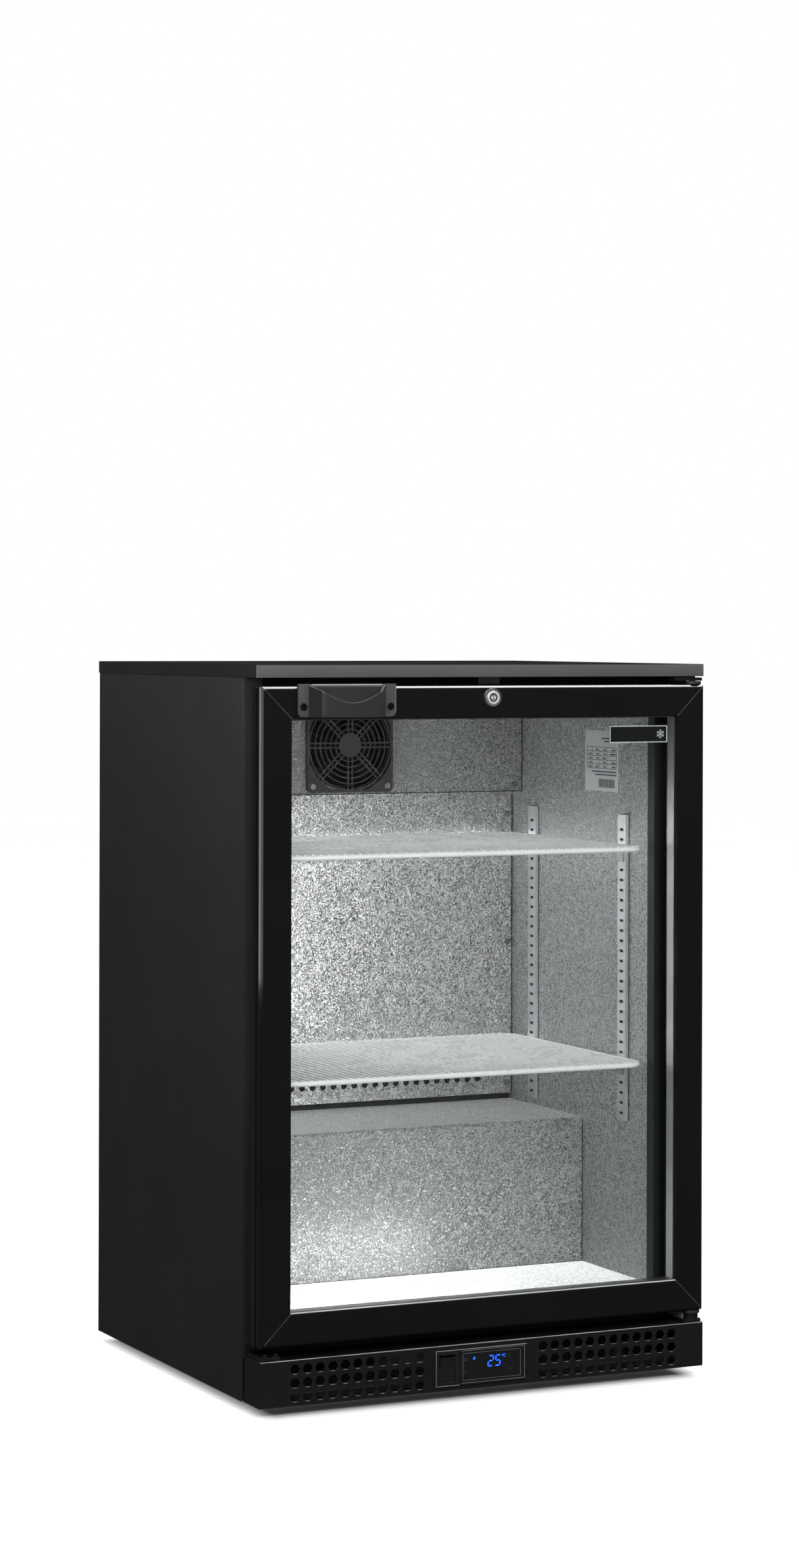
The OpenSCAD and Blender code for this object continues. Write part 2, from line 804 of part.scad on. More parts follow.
// A clip that hooks into a standard and carries the shelf's side rim
module clip_at(y, shelf_z) {
    seat_z = shelf_z - rim_r - body_gap;
    reach = 14;
    face_x = liner_x - standard_t;
    hook_half = 4;
    span([face_x - reach, y - clip_w / 2, seat_z - clip_t], [face_x, y + clip_w / 2, seat_z]);
    span([face_x - 1.6, y - clip_w / 2, seat_z - 16], [face_x, y + clip_w / 2, seat_z - clip_t / 2]);
    span([face_x - cut, y - hook_half, seat_z - clip_t], [face_x + 1.6, y + hook_half, seat_z]);
}

module shelf_clips() {
    color("#d4d6d8") for (s = [0, 1], y = [standard_front_y, standard_rear_y], z = [upper_z, lower_z])
        mirror([s, 0, 0]) clip_at(y + standard_w / 2, z);
}

// A wire shelf: a rim rod with round corners, cross rods under the wires, wires from front to back
module wire_shelf(z) {
    half = shelf_w / 2 - rim_r;
    inner_d = shelf_d - 2 * rim_r;
    wires = floor((half - 3) / wire_pitch);
    lift = rim_r - 2 + 0.9 * wire_r;
    bar_r = 2.5;
    side_in = 6;
    over = 0.8;
    color("#eef0f1") translate([0, shelf_front_y + rim_r, z]) {
        for (y = [0, inner_d]) bar_x(-half + rim_bend, y, 0, rim_r, 2 * (half - rim_bend));
        for (s = [-1, 1]) {
            bar_y(s * half, rim_bend, 0, rim_r, inner_d - 2 * rim_bend);
            translate([s * (half - rim_bend), rim_bend, 0]) rotate([0, 0, s < 0 ? 180 : 270])
                rotate_extrude(angle = 90) translate([rim_bend, 0]) circle(r = rim_r);
            translate([s * (half - rim_bend), inner_d - rim_bend, 0]) rotate([0, 0, s < 0 ? 90 : 0])
                rotate_extrude(angle = 90) translate([rim_bend, 0]) circle(r = rim_r);
            // The outermost wires stop where the rim bends
            bar_y(s * wires * wire_pitch, side_in, lift, wire_r, inner_d - 2 * side_in);
        }
        for (k = [1, 2])
            bar_x(-half, inner_d * k / 3, -0.2, bar_r, 2 * half);
        for (i = [1 - wires:wires - 1])
            bar_y(i * wire_pitch, -over, lift, wire_r, inner_d + 2 * over);
    }
}

module upper_shelf() {
    wire_shelf(upper_z);
}

module lower_shelf() {
    wire_shelf(lower_z);
}

// ---- Machinery behind the step ----

module compressor() {
    rib = 3;
    shell = 4;
    foot_w = 176;
    foot_y = 52;
    bush_at = foot_w / 2 - 12;
    color("#18191a") translate([compressor_x, compressor_y, can_z]) {
        // Hollow can with a seam round its middle, and the pump block inside
        rotate_extrude() polygon([
            [0, 0], [can_r - 14, 0], [can_r - 5, 5], [can_r, 16], [can_r, 74], [can_r + rib, 76],
            [can_r + rib, 82], [can_r, 84], [can_r, 118], [can_r - 8, 136], [can_r - 26, 147],
            [24, can_h], [0, can_h], [0, can_h - shell], [22, can_h - shell], [can_r - 28, 142],
            [can_r - 12, 133], [can_r - shell, 116], [can_r - shell, 18], [can_r - 9, 9],
            [can_r - 16, shell], [46, shell], [46, 92], [0, 92]
        ]);
        // Mounting feet on rubber bushes
        for (s = [-1, 1]) {
            span([-foot_w / 2, s * foot_y - 14, -2], [foot_w / 2, s * foot_y + 14, cut]);
            for (t = [-1, 1]) translate([t * bush_at, s * foot_y, machine_z - can_z])
                cylinder(r = 9, h = can_z - machine_z - cut);
        }
        // Terminal box
        span([-can_r - 22, -26, 40], [-can_r + 3, 26, 104]);
    }
}

module condenser() {
    fin_step = 6;
    fin_t = 0.6;
    end_t = 1.5;
    foot_w = 20;
    foot_in = 4;
    fins = floor(condenser_w / fin_step) - 1;
    color("#3a3d3f") {
        translate([condenser_x, condenser_y, condenser_z]) linear_extrude(condenser_h) {
            for (i = [1:fins]) translate([i * fin_step, 1]) square([fin_t, condenser_d - 2]);
            translate([0, condenser_d / 2 - 0.4]) square([condenser_w, 0.8]);
            for (x = [0, condenser_w - end_t]) translate([x, 0]) square([end_t, condenser_d]);
        }
        // Foot brackets down to the base plate
        for (x = [condenser_x + 1, condenser_x + condenser_w - foot_w - 1])
            span([x, condenser_y + foot_in, machine_z],
                 [x + foot_w, condenser_y + condenser_d - foot_in, condenser_z]);
    }
}

module condenser_shroud() {
    plate_t = 1.5;
    cowl_t = 2;
    cowl_d = 20;
    arm_w = 12;
    arm_x = 96;
    motor_r = 24;
    motor_y = shroud_y + 46;
    opening_r = blower_r + 4;
    color("#2c2e30") difference() {
        union() {
            sheet_y(shroud_y, plate_t) difference() {
                translate([condenser_x, condenser_z]) square([condenser_w, condenser_h]);
                translate([blower_x, blower_z]) circle(r = opening_r);
            }
            // Cowl round the blades
            sheet_y(shroud_y, cowl_d) translate([blower_x, blower_z]) difference() {
                circle(r = opening_r + cowl_t);
                circle(r = opening_r);
            }
            // Bridge that carries the motor
            translate([blower_x, 0, blower_z]) {
                for (s = [-1, 1])
                    span([s * arm_x - arm_w / 2, shroud_y, -arm_w / 2],
                         [s * arm_x + arm_w / 2, motor_y, arm_w / 2]);
                span([-arm_x, motor_y - 3, -arm_w / 2], [arm_x, motor_y, arm_w / 2]);
                bar_y(0, motor_y - 12, 0, motor_r, 44);
            }
        }
        bar_y(blower_x, motor_y - 20, blower_z, shaft_r + run_gap, 40);
    }
}

module condenser_fan() {
    color("#4a4d50") translate([blower_x, shroud_y + 6, blower_z]) fan_wheel(blower_r, 22, 18, 5, 35, 40);
}

module drip_tray() {
    tray_z = can_z + can_h;
    wall = 2;
    half_w = 92;
    half_d = 78;
    tray_h = 34;
    color("#3b3e41") translate([compressor_x, compressor_y, tray_z]) difference() {
        span([-half_w, -half_d, 0], [half_w, half_d, tray_h]);
        span([-half_w + wall, -half_d + wall, wall], [half_w - wall, half_d - wall, tray_h + cut]);
    }
}

// A pipe through a list of points, with a soldered ball joint at each bend
module pipe_run(points, r) {
    for (i = [0:len(points) - 2]) {
        d = points[i + 1] - points[i];
        flat = norm([d.x, d.y]);
        translate(points[i]) rotate([0, atan2(flat, d.z), atan2(d.y, d.x)]) cylinder(r = r, h = norm(d));
    }
    for (i = [1:len(points) - 2])
        translate(points[i]) sphere(r = 1.35 * r, $fn = 24);
}

module refrigerant_pipes() {
    line_r = 3;
    suction_r = 4;
    drier_r = 9;
    drier_h = 90;
    high_y = condenser_y + 12;
    low_y = condenser_y + 32;
    can_y = compressor_y - can_r - body_gap;
    end_x = condenser_x + condenser_w + body_gap;
    riser_x = 60;
    drier_x = 30;
    suction_x = compressor_x + 40;
    discharge_z = can_z + 60;
    gas_z = can_z + 150;
    liquid_z = can_z + 20;
    suction_z = can_z + 32;
    drier_z = liquid_z + 13;
    color("#b8734a") {
        // Discharge line from the compressor to the condenser
        pipe_run([[compressor_x, can_y, discharge_z], [compressor_x, high_y, discharge_z],
                  [riser_x, high_y, discharge_z], [riser_x, high_y, gas_z], [end_x, high_y, gas_z]], line_r);
        // Suction line up to the evaporator
        pipe_run([[compressor_x, can_y, suction_z], [compressor_x, high_y + 6, suction_z],
                  [suction_x, high_y + 6, suction_z], [suction_x, high_y + 6, machine_top_z]], suction_r);
        // Liquid line, filter drier and capillary
        pipe_run([[end_x, low_y, liquid_z], [drier_x, low_y, liquid_z],
                  [drier_x, low_y, drier_z + cut]], line_r);
        translate([drier_x, low_y, drier_z]) cylinder(r = drier_r, h = drier_h);
        translate([drier_x, low_y, drier_z + drier_h - cut])
            cylinder(r = line_r / 2, h = machine_top_z - drier_z - drier_h + cut);
    }
}

module power_inlet() {
    depth = 12;
    flange_t = 3.2;
    bore_r = 4;
    color("#101011") difference() {
        union() {
            bar_y(inlet_x, rear_y - depth, inlet_z, inlet_r, depth + sheet_t);
            bar_y(inlet_x, rear_y - flange_t - body_gap, inlet_z, inlet_r + 3.4, flange_t);
        }
        bar_y(inlet_x, rear_y - depth - cut, inlet_z, bore_r, depth + sheet_t + 2 * cut);
    }
}

module foot_at(p) {
    pad_r = 17;
    pad_t = 6;
    nut_r = 9;
    color("#17181a") translate([p.x, p.y, 0]) {
        cylinder(r1 = pad_r, r2 = pad_r - 2, h = pad_t);
        translate([0, 0, pad_t - cut]) cylinder(r = nut_r, h = foot_h - pad_t + cut - body_gap, $fn = 6);
        cylinder(r = stud_r, h = foot_h + 22);
    }
}

module foot_front_left() {
    foot_at(foot_spots[0]);
}

module foot_front_right() {
    foot_at(foot_spots[1]);
}

module foot_rear_left() {
    foot_at(foot_spots[2]);
}

module foot_rear_right() {
    foot_at(foot_spots[3]);
}

// ---- Hinges and lock strike on the cabinet ----

module top_hinge() {
    pin_low_z = door_top_z - 11;
    color("#0f0f10") {
        span([hinge_inner_x, hinge_y - 9, top_plate_z],
             [hinge_outer_x, front_y, top_plate_z + hinge_plate_t]);
        // Packing block up to the worktop
        span([hinge_inner_x, hinge_y + 8, top_plate_z + hinge_plate_t / 2], [hinge_outer_x, front_y, deck_z]);
        translate([hinge_x, hinge_y, pin_low_z]) cylinder(r = pin_r, h = top_plate_z + cut - pin_low_z);
    }
}

module bottom_bracket() {
    leg_t = 3;
    low_x = hinge_inner_x + 14;
    span([low_x, hinge_y - 9, bottom_plate_z], [hinge_outer_x, front_y, bottom_plate_z + hinge_plate_t]);
    span([low_x, front_y - leg_t, bottom_pin_z], [hinge_outer_x, front_y, door_bottom_z - 1]);
}

module bottom_hinge() {
    collar_r = 9;
    collar_top_z = door_bottom_z - flange_t - body_gap;
    color("#0f0f10") {
        bottom_bracket();
        translate([hinge_x, hinge_y, bottom_pin_z]) {
            cylinder(r = collar_r, h = collar_top_z - bottom_pin_z);
            cylinder(r = pin_r, h = door_bottom_z + 11 - bottom_pin_z);
        }
    }
}

module spare_bracket() {
    stud_out = 2.5;
    color("#0f0f10") mirror([1, 0, 0]) {
        bottom_bracket();
        for (dx = [0, -14]) translate([hinge_x + dx, hinge_y, bottom_pin_z])
            cylinder(r = 3, h = hinge_plate_t / 2 + stud_out);
    }
}

module lock_strike() {
    lip_y = door_y + 9.4;
    plate_t = 2;
    foot_d = 22;
    color("#1b1b1c") {
        span([lock_x - 14, lip_y, door_top_z + 1.2], [lock_x + 14, lip_y + plate_t, deck_z]);
        span([lock_x - 14, lip_y, deck_z - plate_t], [lock_x + 14, lip_y + foot_d, deck_z]);
    }
}

// ---- Door ----

// Section of a frame bar: across from the outer edge, and back from the front face
bar_section = [
    [0, 7], [1, 3], [3, 0.9], [5, 0], [frame_w - 1.6, 0], [frame_w, 1.2], [frame_w, lip_t],
    [frame_w - 9, lip_t], [frame_w - 9, lip_t + 2 * pane_t + spacer_t + 0.2],
    [frame_w - 2, lip_t + 2 * pane_t + spacer_t + 0.2], [frame_w - 2, door_t - 2],
    [frame_w - 4, door_t], [3, door_t], [1, door_t - 2], [1, door_t - 4.5], [0, door_t - 5.5],
    [0, 17.5], [1.5, 16.5], [1.5, 8.5]
];

module stile() {
    translate([-door_w / 2, door_y, door_bottom_z]) intersection() {
        linear_extrude(door_h) polygon(bar_section);
        translate([0, door_t + cut, 0]) rotate([90, 0, 0]) linear_extrude(door_t + 2 * cut)
            polygon([[0, mitre_gap], [frame_w, frame_w + mitre_gap], [frame_w, door_h - frame_w - mitre_gap],
                     [0, door_h - mitre_gap]]);
    }
}

// The rail that lies along z = 0, with its outer edge down
module rail() {
    half = door_w / 2;
    intersection() {
        translate([half, 0, 0]) rotate([0, -90, 0]) linear_extrude(door_w) polygon(bar_section);
        translate([0, door_t + cut, 0]) rotate([90, 0, 0]) linear_extrude(door_t + 2 * cut)
            polygon([[-half + mitre_gap, 0], [half - mitre_gap, 0], [half - frame_w - mitre_gap, frame_w],
                     [-half + frame_w + mitre_gap, frame_w]]);
    }
}

module bush_bores() {
    translate([hinge_x, hinge_y, door_top_z - bush_l]) cylinder(r = bush_r, h = bush_l + cut);
    translate([hinge_x, hinge_y, door_bottom_z - cut]) cylinder(r = bush_r, h = bush_l + cut);
}

module door_stiles() {
    color("#0c0c0d") {
        stile();
        difference() {
            mirror([1, 0, 0]) stile();
            bush_bores();
        }
    }
}

module door_rails() {
    color("#0c0c0d") {
        difference() {
            translate([0, door_y, door_bottom_z]) rail();
            bush_bores();
        }
        difference() {
            translate([0, door_y, door_top_z]) mirror([0, 0, 1]) rail();
            bush_bores();
            bar_y(lock_x, door_y - cut, lock_z, housing_r, cam_slot_y - door_y + cut + 0.5);
            // Pocket in which the cam swings up
            span([lock_x - lock_r - 1, cam_slot_y, lock_z - lock_r - 1],
                 [lock_x + cam_reach + 3, cam_slot_y + cam_slot_d, door_top_z + cut]);
        }
    }
}

module pane(y) {
    span([-glass_w / 2, y, glass_z], [glass_w / 2, y + pane_t, glass_z + glass_h]);
}

module outer_glass() {
    color("#a8c4c0", 0.3) pane(outer_glass_y);
}

module inner_glass() {
    color("#a8c4c0", 0.3) pane(inner_glass_y);
}

module glass_spacer() {
    inset = 2;
    bar = 7.5;
    color("#b9bcbe") ring_y(glass_w / 2 - inset, glass_z + inset, glass_z + glass_h - inset, bar,
                            spacer_y, spacer_t);
}

module door_gasket() {
    base_t = 5;
    head_t = 5.5;
    neck_in = 2.5;
    back = door_y + door_t;
    color("#0a0a0a") {
        ring_y(gasket_x, gasket_low_z, gasket_high_z, gasket_w, back, base_t);
        ring_y(gasket_x - neck_in, gasket_low_z + neck_in, gasket_high_z - neck_in, gasket_w - 2 * neck_in,
               back + base_t, gasket_t - base_t - head_t);
        ring_y(gasket_x, gasket_low_z, gasket_high_z, gasket_w, back + gasket_t - head_t, head_t);
    }
}

module door_badge() {
    badge_w = 80;
    badge_h = 20.5;
    badge_t = 0.8;
    badge_x = opening_x - badge_w - 14;
    badge_z = door_top_z - frame_w - 32;
    color("#101214") span([badge_x, outer_glass_y - badge_t, badge_z],
                          [badge_x + badge_w, outer_glass_y, badge_z + badge_h]);
}

// Plan of the handle's grip: a tray with slanted ends, open towards the door
module grip_plan(inset) {
    slant = 11;
    round_r = 5;
    half = grip_w / 2 - inset;
    depth = handle_out - inset;
    hull() {
        translate([-half, -0.01]) square([2 * half, 0.01]);
        for (s = [-1, 1]) translate([s * (half - slant), -depth + round_r]) circle(r = round_r, $fn = 32);
        translate([-12, -depth]) square([24, 1]);
    }
}

module door_handle() {
    wall = 3;
    scoop_r = 62;
    scoop_low = 17;
    low = handle_low_z;
    color("#1a1b1c") {
        translate([handle_x, door_y, 0]) {
            // Grip: front wall and floor
            difference() {
                translate([0, 0, low]) linear_extrude(handle_h - 2) grip_plan(0);
                translate([0, 0, low + wall]) linear_extrude(handle_h) translate([0, 0.02]) grip_plan(wall);
                bar_y(0, -handle_out - cut, low + scoop_low + scoop_r, scoop_r, handle_out + 2 * cut);
            }
            // Screw tabs
            for (s = [-1, 1]) difference() {
                sheet_y(-tab_t, tab_t) difference() {
                    translate([s * (grip_w + tab_w) / 2 - (tab_w + 1) / 2, low])
                        square([tab_w + 1, handle_h]);
                    translate([s * handle_w / 2, low]) rotate(s < 0 ? -45 : 45)
                        square([12, 9], center = true);
                }
                bar_y(s * handle_screw_dx, -tab_t - cut, handle_screw_z, 4.6, 1 + cut);
                bar_y(s * handle_screw_dx, -tab_t - cut, handle_screw_z, 1.7, tab_t + 2 * cut);
            }
        }
    }
}

module handle_screws() {
    color("#8b8d8f") for (s = [-1, 1])
        translate([handle_x + s * handle_screw_dx, door_y - tab_t + 1, handle_screw_z])
            pan_screw(4.2, 2.2, 1.6, 1.9);
}

module door_bushes() {
    color("#e4e4e2") for (side = [0, 1])
        translate([hinge_x, hinge_y, side == 0 ? door_top_z : door_bottom_z]) mirror([0, 0, side])
            difference() {
                union() {
                    translate([0, 0, -bush_l]) cylinder(r = bush_r, h = bush_l + cut);
                    cylinder(r = flange_r, h = flange_t);
                }
                translate([0, 0, -bush_l + 2]) cylinder(r = pin_r + run_gap, h = bush_l + flange_t);
            }
}

module lock_housing() {
    lip_out = 1.6;
    color("#2b2c2e") difference() {
        union() {
            bar_y(lock_x, door_y, lock_z, housing_r, cam_slot_y - door_y - 0.2);
            bar_y(lock_x, door_y - lip_out, lock_z, housing_r + 1.6, lip_out);
        }
        bar_y(lock_x, door_y - lip_out - cut, lock_z, lock_r + run_gap, 30);
    }
}

module lock_plug() {
    face_y = door_y - 2.4;
    key_w = 1.6;
    key_h = 7;
    color("#c9cdd0") translate([lock_x, 0, lock_z]) {
        difference() {
            bar_y(0, face_y, 0, lock_r, cam_y + cam_t - face_y);
            span([-key_w / 2, face_y - cut, -key_h / 2], [key_w / 2, face_y + 6, key_h / 2]);
        }
        span([0, cam_y, -cam_half], [cam_reach, cam_y + cam_t, cam_half]);
    }
}

// ---- Screws on the cabinet ----

module panel_screws() {
    shank = 4;
    color("#a2a5a8") {
        for (sx = [-1, 1], sz = [-1, 1])
            translate([sx * guard_screw_at, fan_y - guard_t, fan_z + sz * guard_screw_at])
                pan_screw(3.6, 1.6, 1.5, guard_t);
        for (s = [-1, 1]) {
            for (z = fan_screw_z) translate([s * fan_screw_x, fan_y, z]) pan_screw(4, 1.8, 1.7, shank);
            for (z = duct_screw_z) translate([s * duct_screw_x, duct_y, z]) pan_screw(4, 1.8, 1.7, shank);
            for (z = grille_screw_z)
                translate([s * grille_screw_x, rear_y + sheet_t, z]) rotate([0, 0, 180])
                    pan_screw(4, 1.8, grille_screw_r, 3 * sheet_t);
        }
    }
}

side_panel_left();
side_panel_right();
rear_panel();
rear_grille();
base_plate();
worktop();
front_frame();
throat_frame();
kick_plate();
panel_screws();
insulation();
liner_left();
liner_right();
liner_back();
liner_ceiling();
liner_floor();
liner_step();
controller_bezel();
display_panel();
rocker_switch();
control_cover();
evaporator();
evaporator_fan_frame();
evaporator_fan();
fan_guard();
fan_panel();
duct_panel();
shelf_standards();
shelf_clips();
upper_shelf();
lower_shelf();
light_bar();
rating_label();
compressor();
condenser();
condenser_shroud();
condenser_fan();
drip_tray();
refrigerant_pipes();
power_inlet();
foot_front_left();
foot_front_right();
foot_rear_left();
foot_rear_right();
top_hinge();
bottom_hinge();
spare_bracket();
lock_strike();
door_stiles();
door_rails();
outer_glass();
inner_glass();
glass_spacer();
door_gasket();
door_handle();
handle_screws();
door_badge();
door_bushes();
lock_housing();
lock_plug();
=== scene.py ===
"""Looks of the undercounter refrigerator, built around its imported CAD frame."""

import json
import math

import bmesh
import bpy
from mathutils import Matrix, Vector


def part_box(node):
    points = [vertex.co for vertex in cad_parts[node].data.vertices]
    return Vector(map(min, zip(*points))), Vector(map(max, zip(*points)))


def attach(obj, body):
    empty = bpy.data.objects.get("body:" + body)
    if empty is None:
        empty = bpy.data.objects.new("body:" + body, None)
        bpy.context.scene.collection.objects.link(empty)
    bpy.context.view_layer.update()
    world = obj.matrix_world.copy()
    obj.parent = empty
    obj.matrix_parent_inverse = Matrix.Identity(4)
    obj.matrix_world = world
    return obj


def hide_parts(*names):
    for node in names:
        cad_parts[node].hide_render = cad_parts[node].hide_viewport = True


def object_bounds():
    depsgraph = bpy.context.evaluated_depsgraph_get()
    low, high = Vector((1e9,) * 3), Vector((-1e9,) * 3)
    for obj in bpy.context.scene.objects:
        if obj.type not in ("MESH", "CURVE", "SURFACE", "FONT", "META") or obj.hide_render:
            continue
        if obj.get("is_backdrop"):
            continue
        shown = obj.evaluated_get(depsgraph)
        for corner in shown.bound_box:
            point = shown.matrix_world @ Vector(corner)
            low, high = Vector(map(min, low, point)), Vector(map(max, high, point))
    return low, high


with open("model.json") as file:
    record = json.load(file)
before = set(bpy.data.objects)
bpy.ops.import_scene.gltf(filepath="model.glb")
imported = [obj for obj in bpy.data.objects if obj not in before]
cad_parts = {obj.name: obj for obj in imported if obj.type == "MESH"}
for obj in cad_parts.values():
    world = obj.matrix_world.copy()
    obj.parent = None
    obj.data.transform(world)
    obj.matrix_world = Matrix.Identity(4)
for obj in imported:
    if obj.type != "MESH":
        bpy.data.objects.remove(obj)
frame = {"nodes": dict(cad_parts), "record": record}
cad_low, cad_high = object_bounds()
scene = bpy.context.scene

# One millimetre of the CAD in the frame's metres, and values that all materials share
MM = 0.001
COAT_ROUGH, GLASS_IOR, BEVEL_SAMPLES = 0.05, 1.45, 4


# ---------------------------------------------------------------- materials

def new_material(name):
    m = bpy.data.materials.new(name)
    m.use_nodes = True
    nt = m.node_tree
    return m, nt, nt.nodes["Principled BSDF"]


def coords(nt, scale=(1, 1, 1)):
    tc = nt.nodes.new("ShaderNodeTexCoord")
    mp = nt.nodes.new("ShaderNodeMapping")
    mp.inputs["Scale"].default_value = scale
    nt.links.new(tc.outputs["Object"], mp.inputs["Vector"])
    return mp.outputs["Vector"]


def noise(nt, vector, scale, detail=2.0, distortion=0.0):
    n = nt.nodes.new("ShaderNodeTexNoise")
    n.inputs["Scale"].default_value = scale
    n.inputs["Detail"].default_value = detail
    n.inputs["Distortion"].default_value = distortion
    nt.links.new(vector, n.inputs["Vector"])
    return n.outputs["Fac"]


def ramp(nt, value, stops):
    r = nt.nodes.new("ShaderNodeValToRGB")
    e = r.color_ramp.elements
    while len(e) < len(stops):
        e.new(0.5)
    for item, (at, colour) in zip(e, stops):
        item.position = at
        item.color = (*colour, 1)
    nt.links.new(value, r.inputs["Fac"])
    return r.outputs["Color"]


def spread(nt, value, low, high):
    r = nt.nodes.new("ShaderNodeMapRange")
    r.inputs["To Min"].default_value = low
    r.inputs["To Max"].default_value = high
    nt.links.new(value, r.inputs["Value"])
    return r.outputs["Result"]


def maths(nt, kind, a, b=None, clamp=False):
    n = nt.nodes.new("ShaderNodeMath")
    n.operation = kind
    n.use_clamp = clamp
    for i, v in enumerate((a, b)):
        if v is None:
            continue
        if isinstance(v, (int, float)):
            n.inputs[i].default_value = v
        else:
            nt.links.new(v, n.inputs[i])
    return n.outputs[0]


def bump(nt, bsdf, height, distance, strength=1.0, edge=0.0):
    b = nt.nodes.new("ShaderNodeBump")
    b.inputs["Distance"].default_value = distance
    b.inputs["Strength"].default_value = strength
    nt.links.new(height, b.inputs["Height"])
    if edge:
        v = nt.nodes.new("ShaderNodeBevel")
        v.samples = BEVEL_SAMPLES
        v.inputs["Radius"].default_value = edge
        nt.links.new(v.outputs["Normal"], b.inputs["Normal"])
    nt.links.new(b.outputs["Normal"], bsdf.inputs["Normal"])


def scaled(colour, k):
    return tuple(min(1.0, c * k) for c in colour[:3])


def surface(name, colour, rough=(0.35, 0.5), metallic=0.0, specular=0.5, vary=0.15,
            patch=9.0, grain=900.0, grain_h=0.00004, edge=0.0008, coat=0.0, stretch=(1, 1, 1)):
    """A painted, moulded or bare surface: patchy colour, uneven gloss, fine grain and soft edges.

    rough is the range of its roughness, patch and grain are noise scales, grain_h and edge are metres.
    """
    m, nt, b = new_material(name)
    v = coords(nt)
    clouds = noise(nt, v, patch, 3.0)
    nt.links.new(ramp(nt, clouds, [(0.3, scaled(colour, 1 - vary)), (0.7, scaled(colour, 1 + vary))]),
                 b.inputs["Base Color"])
    smears = noise(nt, v, patch * 3.1, 4.0, 0.6)
    nt.links.new(spread(nt, smears, *rough), b.inputs["Roughness"])
    b.inputs["Metallic"].default_value = metallic
    b.inputs["Specular IOR Level"].default_value = specular
    b.inputs["Coat Weight"].default_value = coat
    b.inputs["Coat Roughness"].default_value = COAT_ROUGH
    fine = noise(nt, coords(nt, stretch), grain, 2.0)
    bump(nt, b, fine, grain_h, 1.0, edge)
    return m


def stucco(name, colour, rough, depth, scale):
    """Sheet aluminium with an embossed pattern of short crossing ridges, its colour painted lighter on the
    ridges and darker in the hollows as painted highlight and shade.
    """
    m, nt, b = new_material(name)
    v = coords(nt)
    worms = noise(nt, v, scale, 1.0, 1.2)
    ridges = ramp(nt, worms, [(0.38, (0, 0, 0)), (0.5, (1, 1, 1)), (0.62, (0, 0, 0))])
    dents = noise(nt, v, scale * 0.45, 1.0, 0.5)
    height = maths(nt, "ADD", ridges, maths(nt, "MULTIPLY", dents, 0.5))
    # Painted highlight and shade: the colour runs from dark in the hollows to light on the ridges
    nt.links.new(ramp(nt, ridges, [(0.0, scaled(colour, 0.52)), (1.0, scaled(colour, 1.75))]),
                 b.inputs["Base Color"])
    clouds = noise(nt, v, 5.0, 2.0)
    nt.links.new(spread(nt, clouds, *rough), b.inputs["Roughness"])
    b.inputs["Metallic"].default_value = 0.9
    bump(nt, b, height, depth, 0.8)
    return m


def glass_pane(name):
    """Clear float glass: what is behind shows through, and a face mirrors at half its Fresnel share."""
    m, nt, b = new_material(name)
    v = coords(nt)
    clear = nt.nodes.new("ShaderNodeBsdfTransparent")
    clear.inputs["Color"].default_value = (0.986, 0.990, 0.988, 1)
    haze = noise(nt, v, 5.0, 5.0, 0.3)
    nt.links.new(spread(nt, haze, 0.01, 0.035), b.inputs["Roughness"])
    nt.links.new(ramp(nt, haze, [(0.3, (0.02, 0.025, 0.024)), (0.8, (0.04, 0.045, 0.044))]),
                 b.inputs["Base Color"])
    fres = nt.nodes.new("ShaderNodeFresnel")
    fres.inputs["IOR"].default_value = GLASS_IOR
    mix = nt.nodes.new("ShaderNodeMixShader")
    nt.links.new(maths(nt, "MULTIPLY", fres.outputs["Fac"], 0.5), mix.inputs["Fac"])
    nt.links.new(clear.outputs["BSDF"], mix.inputs[1])
    nt.links.new(b.outputs["BSDF"], mix.inputs[2])
    nt.links.new(mix.outputs["Shader"], nt.nodes["Material Output"].inputs["Surface"])
    return m


def clear_plastic(name, tint, solid):
    """Thin clear plastic: mostly see-through, with a faint smoky body and gloss."""
    m, nt, b = new_material(name)
    v = coords(nt)
    wear = noise(nt, v, 60.0, 4.0, 0.5)
    nt.links.new(ramp(nt, wear, [(0.3, scaled(tint, 0.8)), (0.7, scaled(tint, 1.2))]),
                 b.inputs["Base Color"])
    nt.links.new(spread(nt, wear, 0.06, 0.16), b.inputs["Roughness"])
    clear = nt.nodes.new("ShaderNodeBsdfTransparent")
    clear.inputs["Color"].default_value = (0.9, 0.91, 0.92, 1)
    mix = nt.nodes.new("ShaderNodeMixShader")
    lay = nt.nodes.new("ShaderNodeLayerWeight")
    lay.inputs["Blend"].default_value = 0.35
    nt.links.new(maths(nt, "ADD", maths(nt, "MULTIPLY", lay.outputs["Fresnel"], 0.8), solid, True),
                 mix.inputs["Fac"])
    nt.links.new(clear.outputs["BSDF"], mix.inputs[1])
    nt.links.new(b.outputs["BSDF"], mix.inputs[2])
    nt.links.new(mix.outputs["Shader"], nt.nodes["Material Output"].inputs["Surface"])
    return m


def glow(name, colour, strength):
    """A lit segment behind a dark window, slightly uneven in its glow."""
    m, nt, b = new_material(name)
    v = coords(nt)
    uneven = noise(nt, v, 900.0, 2.0)
    nt.links.new(ramp(nt, uneven, [(0.2, scaled(colour, 0.75)), (0.8, colour)]),
                 b.inputs["Emission Color"])
    nt.links.new(ramp(nt, uneven, [(0.2, scaled(colour, 0.2)), (0.8, scaled(colour, 0.3))]),
                 b.inputs["Base Color"])
    nt.links.new(spread(nt, uneven, 0.2, 0.3), b.inputs["Roughness"])
    b.inputs["Emission Strength"].default_value = strength
    return m


